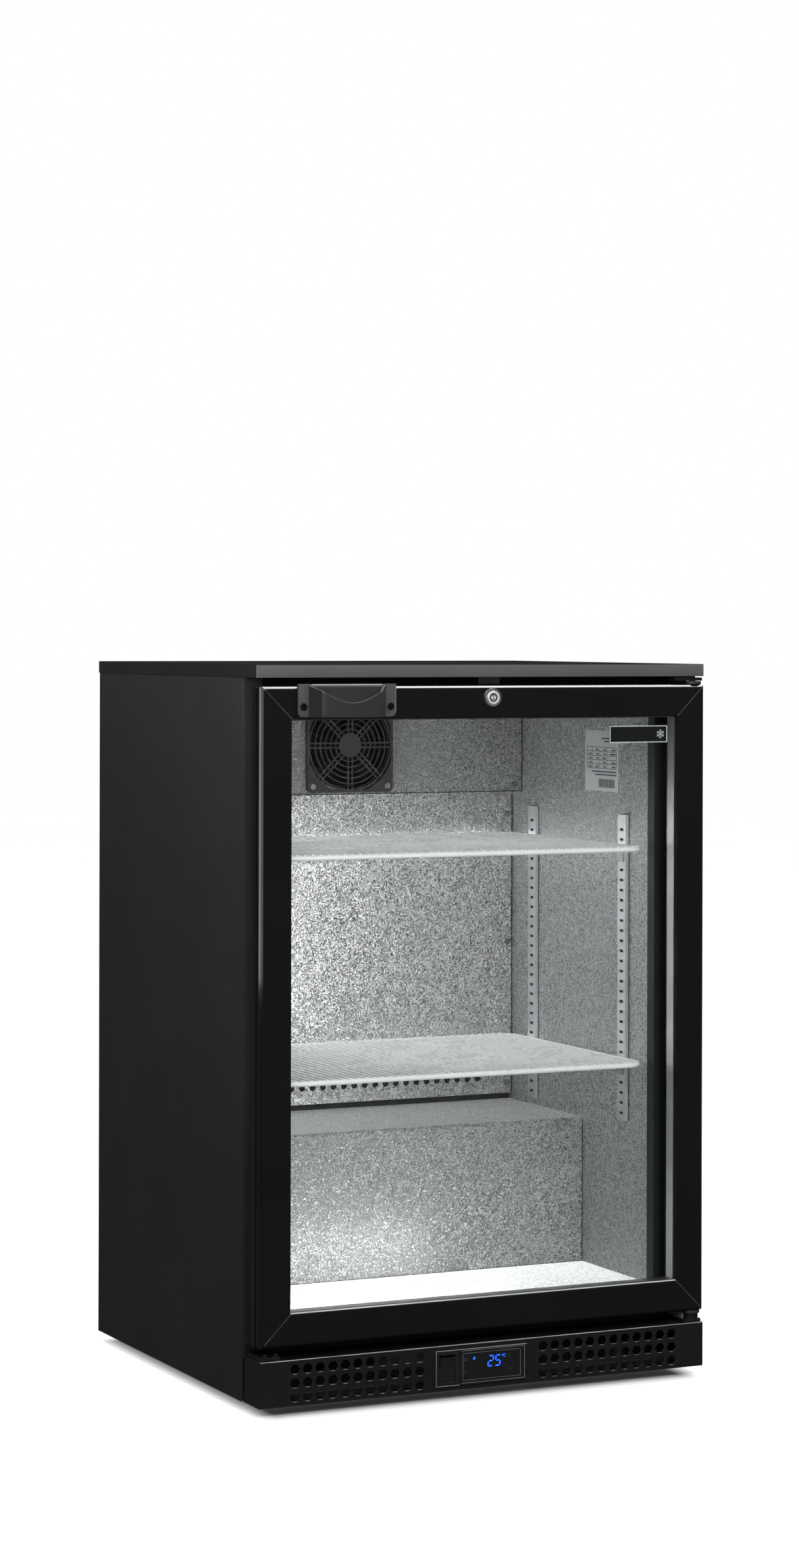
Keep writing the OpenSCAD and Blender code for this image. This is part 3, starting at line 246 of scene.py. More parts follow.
MATS = {
    "cabinet_paint": surface("cabinet_paint", (0.014, 0.014, 0.0145), (0.36, 0.46), specular=0.38,
                             vary=0.10, grain=700, grain_h=0.00003, edge=0.0008),
    "worktop_paint": surface("worktop_paint", (0.034, 0.0345, 0.0355), (0.42, 0.52), specular=0.4,
                             vary=0.10, grain=1100, grain_h=0.00006, edge=0.0012),
    "kick_paint": surface("kick_paint", (0.008, 0.008, 0.0085), (0.30, 0.40), vary=0.12, grain=900,
                          grain_h=0.00005, edge=0.0009),
    "door_frame": surface("door_frame", (0.0055, 0.0055, 0.006), (0.07, 0.12), vary=0.10, specular=0.45,
                          grain=500, grain_h=0.000008, edge=0.0011, coat=0.3),
    "throat_plastic": surface("throat_plastic", (0.008, 0.008, 0.008), (0.45, 0.6), vary=0.2),
    "rear_steel": surface("rear_steel", (0.50, 0.51, 0.52), (0.34, 0.46), metallic=0.7, vary=0.07,
                          patch=70, grain=300, grain_h=0.00002, edge=0.0006),
    "black_screw": surface("black_screw", (0.012, 0.012, 0.013), (0.2, 0.32), metallic=0.6, vary=0.2,
                           patch=300, edge=0.0003),
    "strike_metal": surface("strike_metal", (0.03, 0.03, 0.031), (0.25, 0.4), metallic=0.7, vary=0.2,
                            patch=80, edge=0.0005),
    "screw_steel": surface("screw_steel", (0.34, 0.34, 0.35), (0.3, 0.42), metallic=1.0, vary=0.15,
                           patch=300, edge=0.0003),
    "foam": surface("foam", (0.62, 0.50, 0.28), (0.8, 0.95), vary=0.2, patch=60, grain=1400,
                    grain_h=0.0002),
    "liner_metal": stucco("liner_metal", (0.56, 0.565, 0.57), (0.28, 0.33), 0.0010, 330.0),
    "control_plastic": surface("control_plastic", (0.012, 0.012, 0.0125), (0.3, 0.42), vary=0.15,
                               grain=2500, grain_h=0.00003, edge=0.0005),
    "display_plastic": surface("display_plastic", (0.010, 0.010, 0.012), (0.1, 0.18), vary=0.15,
                               edge=0.0004),
    "clear_cover": clear_plastic("clear_cover", (0.05, 0.052, 0.055), 0.10),
    "coil_metal": surface("coil_metal", (0.62, 0.65, 0.67), (0.3, 0.45), metallic=1.0, vary=0.2, patch=50),
    "fan_plastic": surface("fan_plastic", (0.008, 0.008, 0.0085), (0.55, 0.7), vary=0.2, grain=1500),
    "guard_plastic": surface("guard_plastic", (0.050, 0.050, 0.052), (0.45, 0.6), vary=0.12, grain=2200,
                             grain_h=0.00006, edge=0.0006),
    "standard_metal": surface("standard_metal", (0.72, 0.73, 0.74), (0.3, 0.42), metallic=0.7, vary=0.1,
                              patch=30, grain=600, stretch=(1, 1, 0.05), edge=0.0004),
    "clip_steel": surface("clip_steel", (0.55, 0.56, 0.57), (0.22, 0.35), metallic=1.0, vary=0.15,
                          patch=120, edge=0.0004),
    "shelf_coating": surface("shelf_coating", (0.88, 0.885, 0.89), (0.22, 0.34), vary=0.05, specular=0.5,
                             grain=500, grain_h=0.00006, edge=0.0, coat=0.2),
    "light_plastic": surface("light_plastic", (0.80, 0.82, 0.83), (0.3, 0.4), vary=0.04, edge=0.0008),
    "label_foil": surface("label_foil", (0.60, 0.61, 0.62), (0.4, 0.5), vary=0.05, patch=25, edge=0.0),
    "compressor_paint": surface("compressor_paint", (0.012, 0.012, 0.013), (0.12, 0.25), vary=0.2,
                                grain=300, grain_h=0.00008, edge=0.001, coat=0.5),
    "condenser_metal": surface("condenser_metal", (0.045, 0.047, 0.05), (0.4, 0.6), metallic=0.4, vary=0.3,
                               patch=40, edge=0.0004),
    "fan_metal": surface("fan_metal", (0.30, 0.31, 0.32), (0.3, 0.45), metallic=1.0, vary=0.15, patch=60),
    "tray_plastic": surface("tray_plastic", (0.035, 0.036, 0.040), (0.4, 0.55), vary=0.15),
    "pipe_metal": surface("pipe_metal", (0.70, 0.36, 0.20), (0.22, 0.4), metallic=1.0, vary=0.3, patch=60,
                          edge=0.0),
    "inlet_plastic": surface("inlet_plastic", (0.012, 0.012, 0.012), (0.45, 0.6), vary=0.2),
    "foot_plastic": surface("foot_plastic", (0.016, 0.016, 0.016), (0.45, 0.6), vary=0.25, patch=60),
    "hinge_metal": surface("hinge_metal", (0.008, 0.008, 0.0085), (0.28, 0.4), vary=0.2, patch=60,
                           edge=0.0006),
    "pane": glass_pane("pane"),
    "spacer_metal": surface("spacer_metal", (0.56, 0.57, 0.58), (0.28, 0.38), metallic=1.0, vary=0.08,
                            patch=20, grain=400, stretch=(1, 1, 0.04), edge=0.0006),
    "gasket_rubber": surface("gasket_rubber", (0.007, 0.007, 0.007), (0.5, 0.65), vary=0.25, patch=30,
                             edge=0.0012),
    "handle_plastic": surface("handle_plastic", (0.020, 0.020, 0.021), (0.34, 0.44), vary=0.12, grain=1800,
                              grain_h=0.00007, edge=0.0),
    "badge_plastic": surface("badge_plastic", (0.010, 0.011, 0.012), (0.08, 0.15), vary=0.1, edge=0.0003),
    "bush_plastic": surface("bush_plastic", (0.03, 0.03, 0.031), (0.3, 0.45), vary=0.08, edge=0.0005),
    "lock_metal": surface("lock_metal", (0.55, 0.55, 0.56), (0.2, 0.34), metallic=0.75, vary=0.15,
                          patch=200, edge=0.0004),
    "lock_chrome": surface("lock_chrome", (0.80, 0.80, 0.81), (0.16, 0.3), metallic=0.8, vary=0.08,
                           patch=250, edge=0.0004),
}

for part in frame["record"]["subparts"]:
    node = frame["nodes"][part["node"]]
    node.data.materials.clear()
    node.data.materials.append(MATS[part["material_slot"]])


# ---------------------------------------------------------------- pieces

def make(name, verts, faces, material, body, smooth=False, sharp=35):
    me = bpy.data.meshes.new(name)
    me.from_pydata([tuple(v) for v in verts], [], faces)
    me.validate()
    bm = bmesh.new()
    bm.from_mesh(me)
    bmesh.ops.recalc_face_normals(bm, faces=bm.faces)
    bm.to_mesh(me)
    bm.free()
    ob = bpy.data.objects.new(name, me)
    scene.collection.objects.link(ob)
    me.materials.append(material)
    if smooth:
        me.shade_smooth()
        me.set_sharp_from_angle(angle=math.radians(sharp))
    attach(ob, body)
    return ob


def prism(points, y0, y1, verts, faces):
    """Adds a flat outline in X and Z, drawn from y0 to y1."""
    n, start = len(points), len(verts)
    verts += [(x, y0, z) for x, z in points] + [(x, y1, z) for x, z in points]
    faces.append([start + i for i in range(n)])
    faces.append([start + n + i for i in reversed(range(n))])
    for i in range(n):
        j = (i + 1) % n
        faces.append([start + i, start + j, start + n + j, start + n + i])


def boxes(name, spans, material, body):
    """One piece made of plain bars, each given by its low and high corner."""
    verts, faces = [], []
    for low, high in spans:
        start = len(verts)
        xs, ys, zs = zip(low, high)
        verts += [(x, y, z) for z in zs for y in ys for x in xs]
        for f in ((0, 1, 3, 2), (4, 6, 7, 5), (0, 4, 5, 1), (2, 3, 7, 6), (0, 2, 6, 4), (1, 5, 7, 3)):
            faces.append([start + i for i in f])
    return make(name, verts, faces, material, body)


def frame_bars(low, high, left, right, rise, w):
    """Four thin bars, 0.1 mm proud of the face at low.y, round its rectangle less the given margins."""
    x0, x1, z0, z1 = low.x + left, high.x - right, low.z + rise, high.z - rise
    y0, y1 = low.y - 0.1 * MM, low.y + 0.1 * MM
    return [((x0, y0, z0), (x1, y1, z0 + w)), ((x0, y0, z1 - w), (x1, y1, z1)),
            ((x0, y0, z0 + w), (x0 + w, y1, z1 - w)), ((x1 - w, y0, z0 + w), (x1, y1, z1 - w))]


def stroke(a, b, width):
    """A straight stroke from a to b as a four-cornered outline."""
    a, b = Vector(a), Vector(b)
    d = (b - a).normalized() * width / 2
    s = Vector((-d.y, d.x))
    return [tuple(a - s), tuple(b - s), tuple(b + s), tuple(a + s)]


def circle(cx, cz, r, n=20):
    turns = [2 * math.pi * i / n for i in range(n)]
    return [(cx + r * math.cos(t), cz + r * math.sin(t)) for t in turns]


def ring(cx, cz, inner, outer, y0, y1, n, verts, faces, wave=0.0):
    """Adds a flat ring round cx, cz, its outer rim notched when wave is not zero."""
    for i in range(n):
        a, b = 2 * math.pi * i / n, 2 * math.pi * (i + 1) / n
        far = outer * (1 - (wave if i % 2 else 0.0))
        prism([(cx + r * math.cos(t), cz + r * math.sin(t)) for r, t in
               ((far, a), (far, b), (inner, b), (inner, a))], y0, y1, verts, faces)


def towards(degrees):
    return Vector((math.cos(math.radians(degrees)), math.sin(math.radians(degrees))))


def snow_mark(centre, arm, arm_w, fork_at, fork_len, fork_w, turn, depths, verts, faces):
    """Adds six arms between the two radii in arm, each with two forks turned from it."""
    for k in range(6):
        angle = 60 * k + 30
        way = towards(angle)
        prism(stroke(centre + way * arm[0], centre + way * arm[1], arm_w), *depths, verts, faces)
        root = centre + way * fork_at
        for t in (-turn, turn):
            prism(stroke(root, root + towards(angle + t) * fork_len, fork_w), *depths, verts, faces)


# Display figures and touch marks, just in front of the display's dark field
display_low, display_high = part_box("display_panel")
display_x, display_z = (display_low.x + display_high.x) / 2, (display_low.z + display_high.z) / 2
FIGURE_Y = (display_low.y - 0.16 * MM, display_low.y - 0.06 * MM)
MARK_Y = (display_low.y - 0.14 * MM, display_low.y - 0.05 * MM)
SEGMENTS = {"2": "abged", "5": "afgcd"}
DIGIT_W, DIGIT_H, DIGIT_PITCH = 7.6 * MM, 13.5 * MM, 9.6 * MM
SEGMENT_W, SLANT = 1.5 * MM, 0.13


def digit(char, x, z):
    """Outlines of one seven-segment figure with its low corner at x, z."""
    def p(u, v):
        return (x + u + SLANT * v, z + v)
    w, h, t = DIGIT_W, DIGIT_H, SEGMENT_W
    g, m = t * 0.55, h / 2
    bars = {
        "a": [p(g, h), p(w - g, h), p(w - g - t, h - t), p(g + t, h - t)],
        "d": [p(g, 0), p(g + t, t), p(w - g - t, t), p(w - g, 0)],
        "g": [p(g + t * 0.4, m), p(g + t, m + t / 2), p(w - g - t, m + t / 2), p(w - g - t * 0.4, m),
              p(w - g - t, m - t / 2), p(g + t, m - t / 2)],
        "f": [p(0, h - g), p(t, h - g - t), p(t, m + g + t * 0.4), p(0, m + g * 0.4)],
        "b": [p(w, h - g), p(w, m + g * 0.4), p(w - t, m + g + t * 0.4), p(w - t, h - g - t)],
        "e": [p(0, g), p(0, m - g * 0.4), p(t, m - g - t * 0.4), p(t, g + t)],
        "c": [p(w, g), p(w - t, g + t), p(w - t, m - g - t * 0.4), p(w, m - g * 0.4)],
    }
    return [bars[s] for s in SEGMENTS[char]]


verts, faces = [], []
digits_x, digits_z = display_x - 5.5 * MM, display_z - 3.0 * MM
for i, char in enumerate("25"):
    for outline in digit(char, digits_x + i * DIGIT_PITCH, digits_z):
        prism(outline, *FIGURE_Y, verts, faces)
prism(circle(display_x - 23 * MM, display_z + 8.5 * MM, 1.5 * MM), *FIGURE_Y, verts, faces)
degree = Vector((digits_x + 20.5 * MM, digits_z + DIGIT_H - 0.8 * MM))
prism(circle(degree.x, degree.y, 0.7 * MM, 10), *FIGURE_Y, verts, faces)
UNIT_STROKES = (((1.6, 0.7), (4.0, 0.7)), ((1.6, 0.7), (1.4, -2.2)), ((1.4, -2.2), (3.6, -2.2)))
for a, b in UNIT_STROKES:
    prism(stroke(degree + Vector(a) * MM, degree + Vector(b) * MM, 0.6 * MM), *FIGURE_Y, verts, faces)
make("display_figures", verts, faces, glow("display_blue", (0.01, 0.10, 1.0), 5.0), "cabinet")

verts, faces = [], []
flake = Vector((display_low.x + 6.5 * MM, display_z + 8.0 * MM))
snow_mark(flake, (0.5 * MM, 2.6 * MM), 0.32 * MM, 1.6 * MM, 1.0 * MM, 0.28 * MM, 45, MARK_Y, verts, faces)
arrow_x = display_high.x - 17 * MM
for s in (-1, 1):
    for t in (-1, 1):
        tail, tip = (arrow_x + t * 1.9 * MM, display_z + s * 6.4 * MM), (arrow_x, display_z + s * 8.2 * MM)
        prism(stroke(tail, tip, 0.42 * MM), *MARK_Y, verts, faces)
LETTERS = {
    "S": [((0, 0), (1, 0)), ((1, 0), (1, 1)), ((1, 1), (0, 1)), ((0, 1), (0, 2)), ((0, 2), (1, 2))],
    "E": [((0, 0), (0, 2)), ((0, 0), (1, 0)), ((0, 1), (0.8, 1)), ((0, 2), (1, 2))],
    "T": [((0.5, 0), (0.5, 2)), ((0, 2), (1, 2))],
}
LETTER_W, LETTER_HALF, LETTER_PITCH = 1.2 * MM, 1.0 * MM, 1.9 * MM
for k, char in enumerate("SET"):
    corner = Vector((flake.x - 2.6 * MM + k * LETTER_PITCH, display_z - 8.6 * MM))
    for ends in LETTERS[char]:
        a, b = (corner + Vector((u * LETTER_W, v * LETTER_HALF)) for u, v in ends)
        prism(stroke(a, b, 0.3 * MM), *MARK_Y, verts, faces)
mark_grey = surface("mark_grey", (0.30, 0.31, 0.32), (0.4, 0.5), vary=0.1, patch=400, edge=0.0)
make("touch_marks", verts, faces, mark_grey, "cabinet")

# Rating plate print: a ruled table and plain bars, no lettering
label_low, label_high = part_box("rating_label")
label_w, label_h = label_high.y - label_low.y, label_high.z - label_low.z
verts, faces = [], []


def on_label(u0, v0, u1, v1):
    """A thin dark bar on the label, in shares of its width and height from its low corner."""
    ys = (label_low.y + u0 * label_w, label_low.y + u1 * label_w)
    zs = (label_low.z + v0 * label_h, label_low.z + v1 * label_h)
    start = len(verts)
    for x in (label_low.x - 0.12 * MM, label_low.x - 0.05 * MM):
        verts.extend([(x, ys[0], zs[0]), (x, ys[1], zs[0]), (x, ys[1], zs[1]), (x, ys[0], zs[1])])
    for f in ((0, 1, 2, 3), (7, 6, 5, 4), (0, 4, 5, 1), (1, 5, 6, 2), (2, 6, 7, 3), (3, 7, 4, 0)):
        faces.append([start + i for i in f])


RULE, ROW = 0.009, 0.07
for v in (0.72, 0.65, 0.58, 0.51, 0.44, 0.37):
    on_label(0.06, v, 0.94, v + RULE)
for u in (0.06, 0.34, 0.56, 0.78, 0.934):
    on_label(u, 0.37, u + RULE, 0.726)
for v, right_end in ((0.86, 0.5), (0.81, 0.42), (0.31, 0.8), (0.26, 0.7)):
    on_label(0.06, v, right_end, v + 0.02)
for row in range(5):
    for col, (u0, u1) in enumerate(((0.09, 0.27), (0.38, 0.48), (0.6, 0.7), (0.81, 0.9))):
        if (row * 3 + col * 5) % 7 != 6:
            filled = 0.6 + 0.1 * ((row + col) % 4)
            on_label(u0, 0.39 + row * ROW, u0 + (u1 - u0) * filled, 0.412 + row * ROW)
u = 0.12
for k in range(26):
    bar = (0.006, 0.012, 0.008, 0.016, 0.006)[(k * 3) % 5]
    on_label(u, 0.06, u + bar, 0.2)
    u += bar + (0.008, 0.012, 0.007)[k % 3]
label_ink = surface("label_ink", (0.05, 0.05, 0.052), (0.45, 0.6), vary=0.2, patch=300, edge=0.0)
make("label_print", verts, faces, label_ink, "cabinet")

# Rim and plain snow mark on the badge
badge_low, badge_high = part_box("door_badge")
BADGE_Y, RIM_W = (badge_low.y - 0.2 * MM, badge_low.y - 0.02 * MM), 1.0 * MM
x0, x1, z0, z1 = badge_low.x, badge_high.x, badge_low.z, badge_high.z
verts, faces = [], []
for left, low, right, high in ((x0, z0, x1, z0 + RIM_W), (x0, z1 - RIM_W, x1, z1),
                               (x0, z0 + RIM_W, x0 + RIM_W, z1 - RIM_W),
                               (x1 - RIM_W, z0 + RIM_W, x1, z1 - RIM_W)):
    prism([(left, low), (right, low), (right, high), (left, high)], *BADGE_Y, verts, faces)
snow_mark(Vector((x1 - 9.5 * MM, (z0 + z1) / 2)), (0.6 * MM, 5.4 * MM), 0.9 * MM, 3.0 * MM, 1.9 * MM,
          0.7 * MM, 50, BADGE_Y, verts, faces)
badge_silver = surface("badge_silver", (0.74, 0.80, 0.79), (0.25, 0.35), metallic=0.25, vary=0.08,
                       patch=200, edge=0.0002)
make("badge_rim", verts, faces, badge_silver, "door")

# Painted shade: dark lines where the air panels and the step meet the liner, standing in for the shade in
# their gaps
# One dark paint for the painted shade in the liner's gaps, behind the standards' and duct's slots and in
# the kick plate's gap
shade_paint = surface("painted_shade", (0.03, 0.03, 0.031), (0.5, 0.6), vary=0.3, patch=90, edge=0.0)
fan_low, fan_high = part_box("fan_panel")
duct_low, duct_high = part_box("duct_panel")
step_low, step_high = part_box("liner_step")
GAP_SHADE_W, PROUD, SUNK = 0.9 * MM, 0.3 * MM, 0.2 * MM
spans = [((fan_low.x, fan_low.y - PROUD, fan_low.z - 0.2 * MM),
          (fan_high.x, fan_low.y + SUNK, fan_low.z + GAP_SHADE_W))]
for low, high in ((fan_low, fan_high), (duct_low, duct_high), (step_low, step_high)):
    for x in (low.x, high.x - GAP_SHADE_W):
        spans.append(((x, low.y - PROUD, low.z + GAP_SHADE_W), (x + GAP_SHADE_W, low.y + SUNK, high.z - 6 * MM)))
spans.append(((step_low.x + GAP_SHADE_W, step_low.y - PROUD, step_low.z + 1.1 * MM),
              (step_high.x - GAP_SHADE_W, step_low.y + SUNK, step_low.z + 1.7 * MM)))
boxes("liner_gap_shade", spans, shade_paint, "cabinet")

# Painted shade: a dark sheet behind the slots of the standards, so that their slots read as holes, and a
# dark shadow line painted beside each of their edges
rack_low, rack_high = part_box("shelf_standards")
STANDARD_W, STANDARD_T = 20 * MM, 5 * MM
SHADE_NEAR, SHADE_FAR = STANDARD_T - 2.3 * MM, STANDARD_T - 1.9 * MM
LINE_W, LINE_T = 0.8 * MM, 0.5 * MM
spans = []
for x0, x1 in ((rack_low.x + SHADE_NEAR, rack_low.x + SHADE_FAR),
               (rack_high.x - SHADE_FAR, rack_high.x - SHADE_NEAR)):
    for y0 in (rack_low.y, rack_high.y - STANDARD_W):
        spans.append(((x0, y0 + 1.4 * MM, rack_low.z), (x1, y0 + STANDARD_W - 1.4 * MM, rack_high.z)))
line_ys = (rack_low.y - LINE_W, rack_low.y + STANDARD_W, rack_high.y - STANDARD_W - LINE_W, rack_high.y)
for x0, x1 in ((rack_low.x, rack_low.x + LINE_T), (rack_high.x - LINE_T, rack_high.x)):
    for y0 in line_ys:
        spans.append(((x0, y0, rack_low.z), (x1, y0 + LINE_W, rack_high.z)))
boxes("standard_shade", spans, shade_paint, "cabinet")

# Painted shade: dark sheets behind the air slots of the duct panel and behind the gap under it, so both
# read as dark openings
DUCT_SHADE_Y = (duct_high.y + 3 * MM, duct_high.y + 3.6 * MM)
slot_shade_z = step_high.z + 22 * MM
behind_slots_shade = ((duct_low.x + 12 * MM, DUCT_SHADE_Y[0], slot_shade_z),
              (duct_high.x - 12 * MM, DUCT_SHADE_Y[1], slot_shade_z + 38 * MM))
under_duct_shade = ((duct_low.x + 2 * MM, DUCT_SHADE_Y[0], step_high.z + 0.3 * MM),
            (duct_high.x - 2 * MM, DUCT_SHADE_Y[1], duct_low.z + 6 * MM))
boxes("duct_shade", [behind_slots_shade, under_duct_shade], shade_paint, "cabinet")

# Painted highlights: bright lines on the upper fold of the kick plate and on the lower flat of each hexagon
# hole
highlight_paint = surface("painted_highlight", (0.42, 0.42, 0.43), (0.2, 0.3), specular=0.6, vary=0.35, patch=30, edge=0.0)
kick_low, kick_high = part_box("kick_plate")
HEX_PITCH, HEX_AF, HEX_HALF_FLAT = 16.15 * MM, 11.0 * MM, 2.7 * MM
HEX_LOW, HEX_LEFT, HEX_RIGHT = 10.2 * MM, -251.4 * MM, 75 * MM
spans = [((kick_low.x + 1.0 * MM, kick_low.y - 0.15 * MM, kick_high.z - 0.9 * MM),
          (kick_high.x - 1.0 * MM, kick_low.y + 0.2 * MM, kick_high.z - 0.1 * MM))]
for first, count in ((HEX_LEFT, 11), (HEX_RIGHT, 12)):
    for i in range(count):
        for k in range(3):
            x, z = first + i * HEX_PITCH, kick_low.z + HEX_LOW + k * HEX_PITCH - HEX_AF / 2
            spans.append(((x - HEX_HALF_FLAT, kick_low.y + 0.1 * MM, z - 0.1 * MM),
                          (x + HEX_HALF_FLAT, kick_low.y + 1.0 * MM, z + 0.25 * MM)))
boxes("kick_highlights", spans, highlight_paint, "cabinet")

# Painted shade: a dark strip closing the gap between the kick plate's lower fold and the base
base_low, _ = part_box("base_plate")
boxes("kick_gap_shade", [((kick_low.x + 3 * MM, kick_low.y + 8 * MM, kick_low.z + 0.2 * MM),
                     (kick_high.x - 3 * MM, base_low.y + 2 * MM, kick_low.z + 2.0 * MM))],
      shade_paint, "cabinet")

# Painted highlights: a bright line on the rim of the controller's bezel, left of its cover, and grey lines
# on the edges of the clear cover
bezel_low, bezel_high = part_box("controller_bezel")
cover_low, cover_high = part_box("control_cover")
bars = frame_bars(bezel_low, bezel_high, 0.3 * MM, 0.3 * MM, 0.3 * MM, 0.5 * MM)
sill_low, sill_high = bars[0]
boxes("bezel_rim_highlight", bars[1:3] + [(sill_low, (cover_low.x, *sill_high[1:]))], highlight_paint, "cabinet")
cover_highlight_grey = surface("cover_edge_highlight", (0.20, 0.205, 0.21), (0.15, 0.25), specular=0.6, vary=0.3, patch=60,
                    edge=0.0)
outer_bars = frame_bars(cover_low, cover_high, 2 * MM, 1 * MM, 0.9 * MM, 0.5 * MM)
inner_bars = frame_bars(cover_low, cover_high, 4 * MM, 7 * MM, 4.2 * MM, 0.35 * MM)
boxes("cover_rim_highlight", outer_bars[:2] + outer_bars[3:] + inner_bars, cover_highlight_grey, "cover")

# Painted highlight: a bright line where the outer glass meets the lower rail
glass_low, glass_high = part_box("outer_glass")
BITE = 8 * MM
lip_highlight_grey = surface("lip_highlight_grey", (0.72, 0.73, 0.74), (0.25, 0.35), vary=0.15, patch=20, edge=0.0)
boxes("glass_lip_highlight", [((glass_low.x + BITE, glass_low.y - 0.5 * MM, glass_low.z + BITE),
                      (glass_high.x - BITE, glass_low.y - 0.05 * MM, glass_low.z + BITE + 1.3 * MM))],
      lip_highlight_grey, "door")

# Fine lines where the stiles and rails are mitred
rails_low, rails_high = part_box("door_rails")
FRAME_W, MITRE_START = 39 * MM, 5 * MM
verts, faces = [], []
for x, sx in ((rails_low.x, 1), (rails_high.x, -1)):
    for z, sz in ((rails_low.z, 1), (rails_high.z, -1)):
        outer, inner = ((x + sx * away, z + sz * away) for away in (MITRE_START, FRAME_W))
        prism(stroke(outer, inner, 0.5 * MM), rails_low.y - 0.08 * MM, rails_low.y + 0.1 * MM, verts, faces)
mitre_grey = surface("mitre_grey", (0.10, 0.10, 0.102), (0.25, 0.35), vary=0.3, patch=60, edge=0.0)
make("mitre_lines", verts, faces, mitre_grey, "door")

# Off and on marks on the rocker's two faces, which meet in a valley and lean with the rocker
rocker_low, rocker_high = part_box("rocker_switch")
axis_x, axis_z = (rocker_low.x + rocker_high.x) / 2, (cover_low.z + cover_high.z) / 2
axis_y = kick_low.y + 4.1 * MM
lean = math.radians(7)
NOSE, VALLEY, HALF = 6.7 * MM, 4.9 * MM, 14.6 * MM
verts, faces = [], []


def on_rocker(outline):
    """A flat mark given in x and height over the rocker's valley, laid just in front of its face."""
    start, n = len(verts), len(outline)
    for out in (0.12 * MM, 0.02 * MM):
        for x, z in outline:
            y = -VALLEY - (NOSE - VALLEY) * abs(z) / HALF - out
            verts.append((axis_x + x, axis_y + y * math.cos(lean) - z * math.sin(lean),
                          axis_z + y * math.sin(lean) + z * math.cos(lean)))
    faces.append([start + i for i in range(n)])
    faces.append([start + n + i for i in reversed(range(n))])
    for i in range(n):
        j = (i + 1) % n
        faces.append([start + i, start + j, start + n + j, start + n + i])


OFF_Z, OFF_OUTER, OFF_INNER = 7.5 * MM, 2.3 * MM, 1.8 * MM
ON_HALF, ON_LOW, ON_HIGH = 0.3 * MM, -9.8 * MM, -5.2 * MM
for k in range(12):
    a, b = math.radians(30 * k), math.radians(30 * k + 30)
    corners = ((OFF_OUTER, a), (OFF_OUTER, b), (OFF_INNER, b), (OFF_INNER, a))
    on_rocker([(r * math.cos(t), OFF_Z + r * math.sin(t)) for r, t in corners])
on_rocker([(-ON_HALF, ON_LOW), (ON_HALF, ON_LOW), (ON_HALF, ON_HIGH), (-ON_HALF, ON_HIGH)])
make("rocker_marks", verts, faces, mark_grey, "rocker")

# Lock face: a dark collar on the housing, then a bright ring, key nose and notched core on the plug; the
# ring and nose are painted near white, a painted highlight for the chrome
plug_low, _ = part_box("lock_plug")
housing_low, housing_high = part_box("lock_housing")
lock_x, lock_z = (housing_low.x + housing_high.x) / 2, (housing_low.z + housing_high.z) / 2
lock_y = plug_low.y
lock_highlight = surface("lock_highlight", (0.92, 0.92, 0.93), (0.35, 0.5), metallic=0.2, vary=0.08,
                      patch=600, edge=0.0)
lock_dark = surface("lock_dark", (0.05, 0.05, 0.052), (0.3, 0.45), vary=0.3, patch=900, edge=0.0)
verts, faces = [], []
ring(lock_x, lock_z, 9.6 * MM, 11.0 * MM, housing_low.y - 0.15 * MM, housing_low.y + 0.1 * MM, 36,
     verts, faces)
make("lock_collar", verts, faces, lock_dark, "door")
verts, faces = [], []
ring(lock_x, lock_z, 5.9 * MM, 7.4 * MM, lock_y - 0.25 * MM, lock_y + 0.1 * MM, 32, verts, faces)
for s in (-1, 1):
    half_nose = ((0.9, -1.9), (2.6, -1.1), (2.6, 1.1), (0.9, 1.9))
    prism([(lock_x + s * x * MM, lock_z + z * MM) for x, z in half_nose],
          lock_y - 0.4 * MM, lock_y + 0.1 * MM, verts, faces)
make("lock_rim", verts, faces, lock_highlight, "lock")
verts, faces = [], []
ring(lock_x, lock_z, 3.6 * MM, 5.9 * MM, lock_y - 0.12 * MM, lock_y + 0.1 * MM, 26, verts, faces, 0.25)
make("lock_core", verts, faces, lock_dark, "lock")

# Folded front lip of the worktop: a rounded upper edge, a hemmed lower edge and a bead at each end.
# Its profile is given in mm, back from the worktop's front and up from its top
worktop_low, worktop_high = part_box("worktop")
lip_y, lip_z = worktop_low.y, worktop_high.z
profile = [(0.6, -14.9), (-0.5, -15.0), (-0.9, -14.4), (-0.9, -2.2)]
profile += [(-0.9 + 2.0 * (1 - math.cos(math.radians(a))), -2.2 + 2.1 * math.sin(math.radians(a)))
            for a in (15, 30, 45, 60, 75, 90)]
profile += [(1.2, -0.6), (0.6, -2.4)]
ends = (worktop_low.x + 1.1 * MM, worktop_high.x - 1.1 * MM)
verts = [(x, lip_y + y * MM, lip_z + z * MM) for x in ends for y, z in profile]
n = len(profile)
faces = [list(range(n)), [n + i for i in reversed(range(n))]]
faces += [[i, (i + 1) % n, n + (i + 1) % n, n + i] for i in range(n)]
BEAD_SIDES = 12
for x in ends:
    start = len(verts)
    for r, z in ((1.0 * MM, -15.1 * MM), (1.0 * MM, -1.0 * MM), (0.5 * MM, -0.1 * MM)):
        verts += [(bx, by, lip_z + z) for bx, by in circle(x, lip_y - 0.1 * MM, r, BEAD_SIDES)]
    faces += [[start + i for i in range(BEAD_SIDES)],
              [start + 2 * BEAD_SIDES + i for i in reversed(range(BEAD_SIDES))]]
    for near in (start, start + BEAD_SIDES):
        for i in range(BEAD_SIDES):
            j = (i + 1) % BEAD_SIDES
            faces.append([near + i, near + j, near + BEAD_SIDES + j, near + BEAD_SIDES + i])
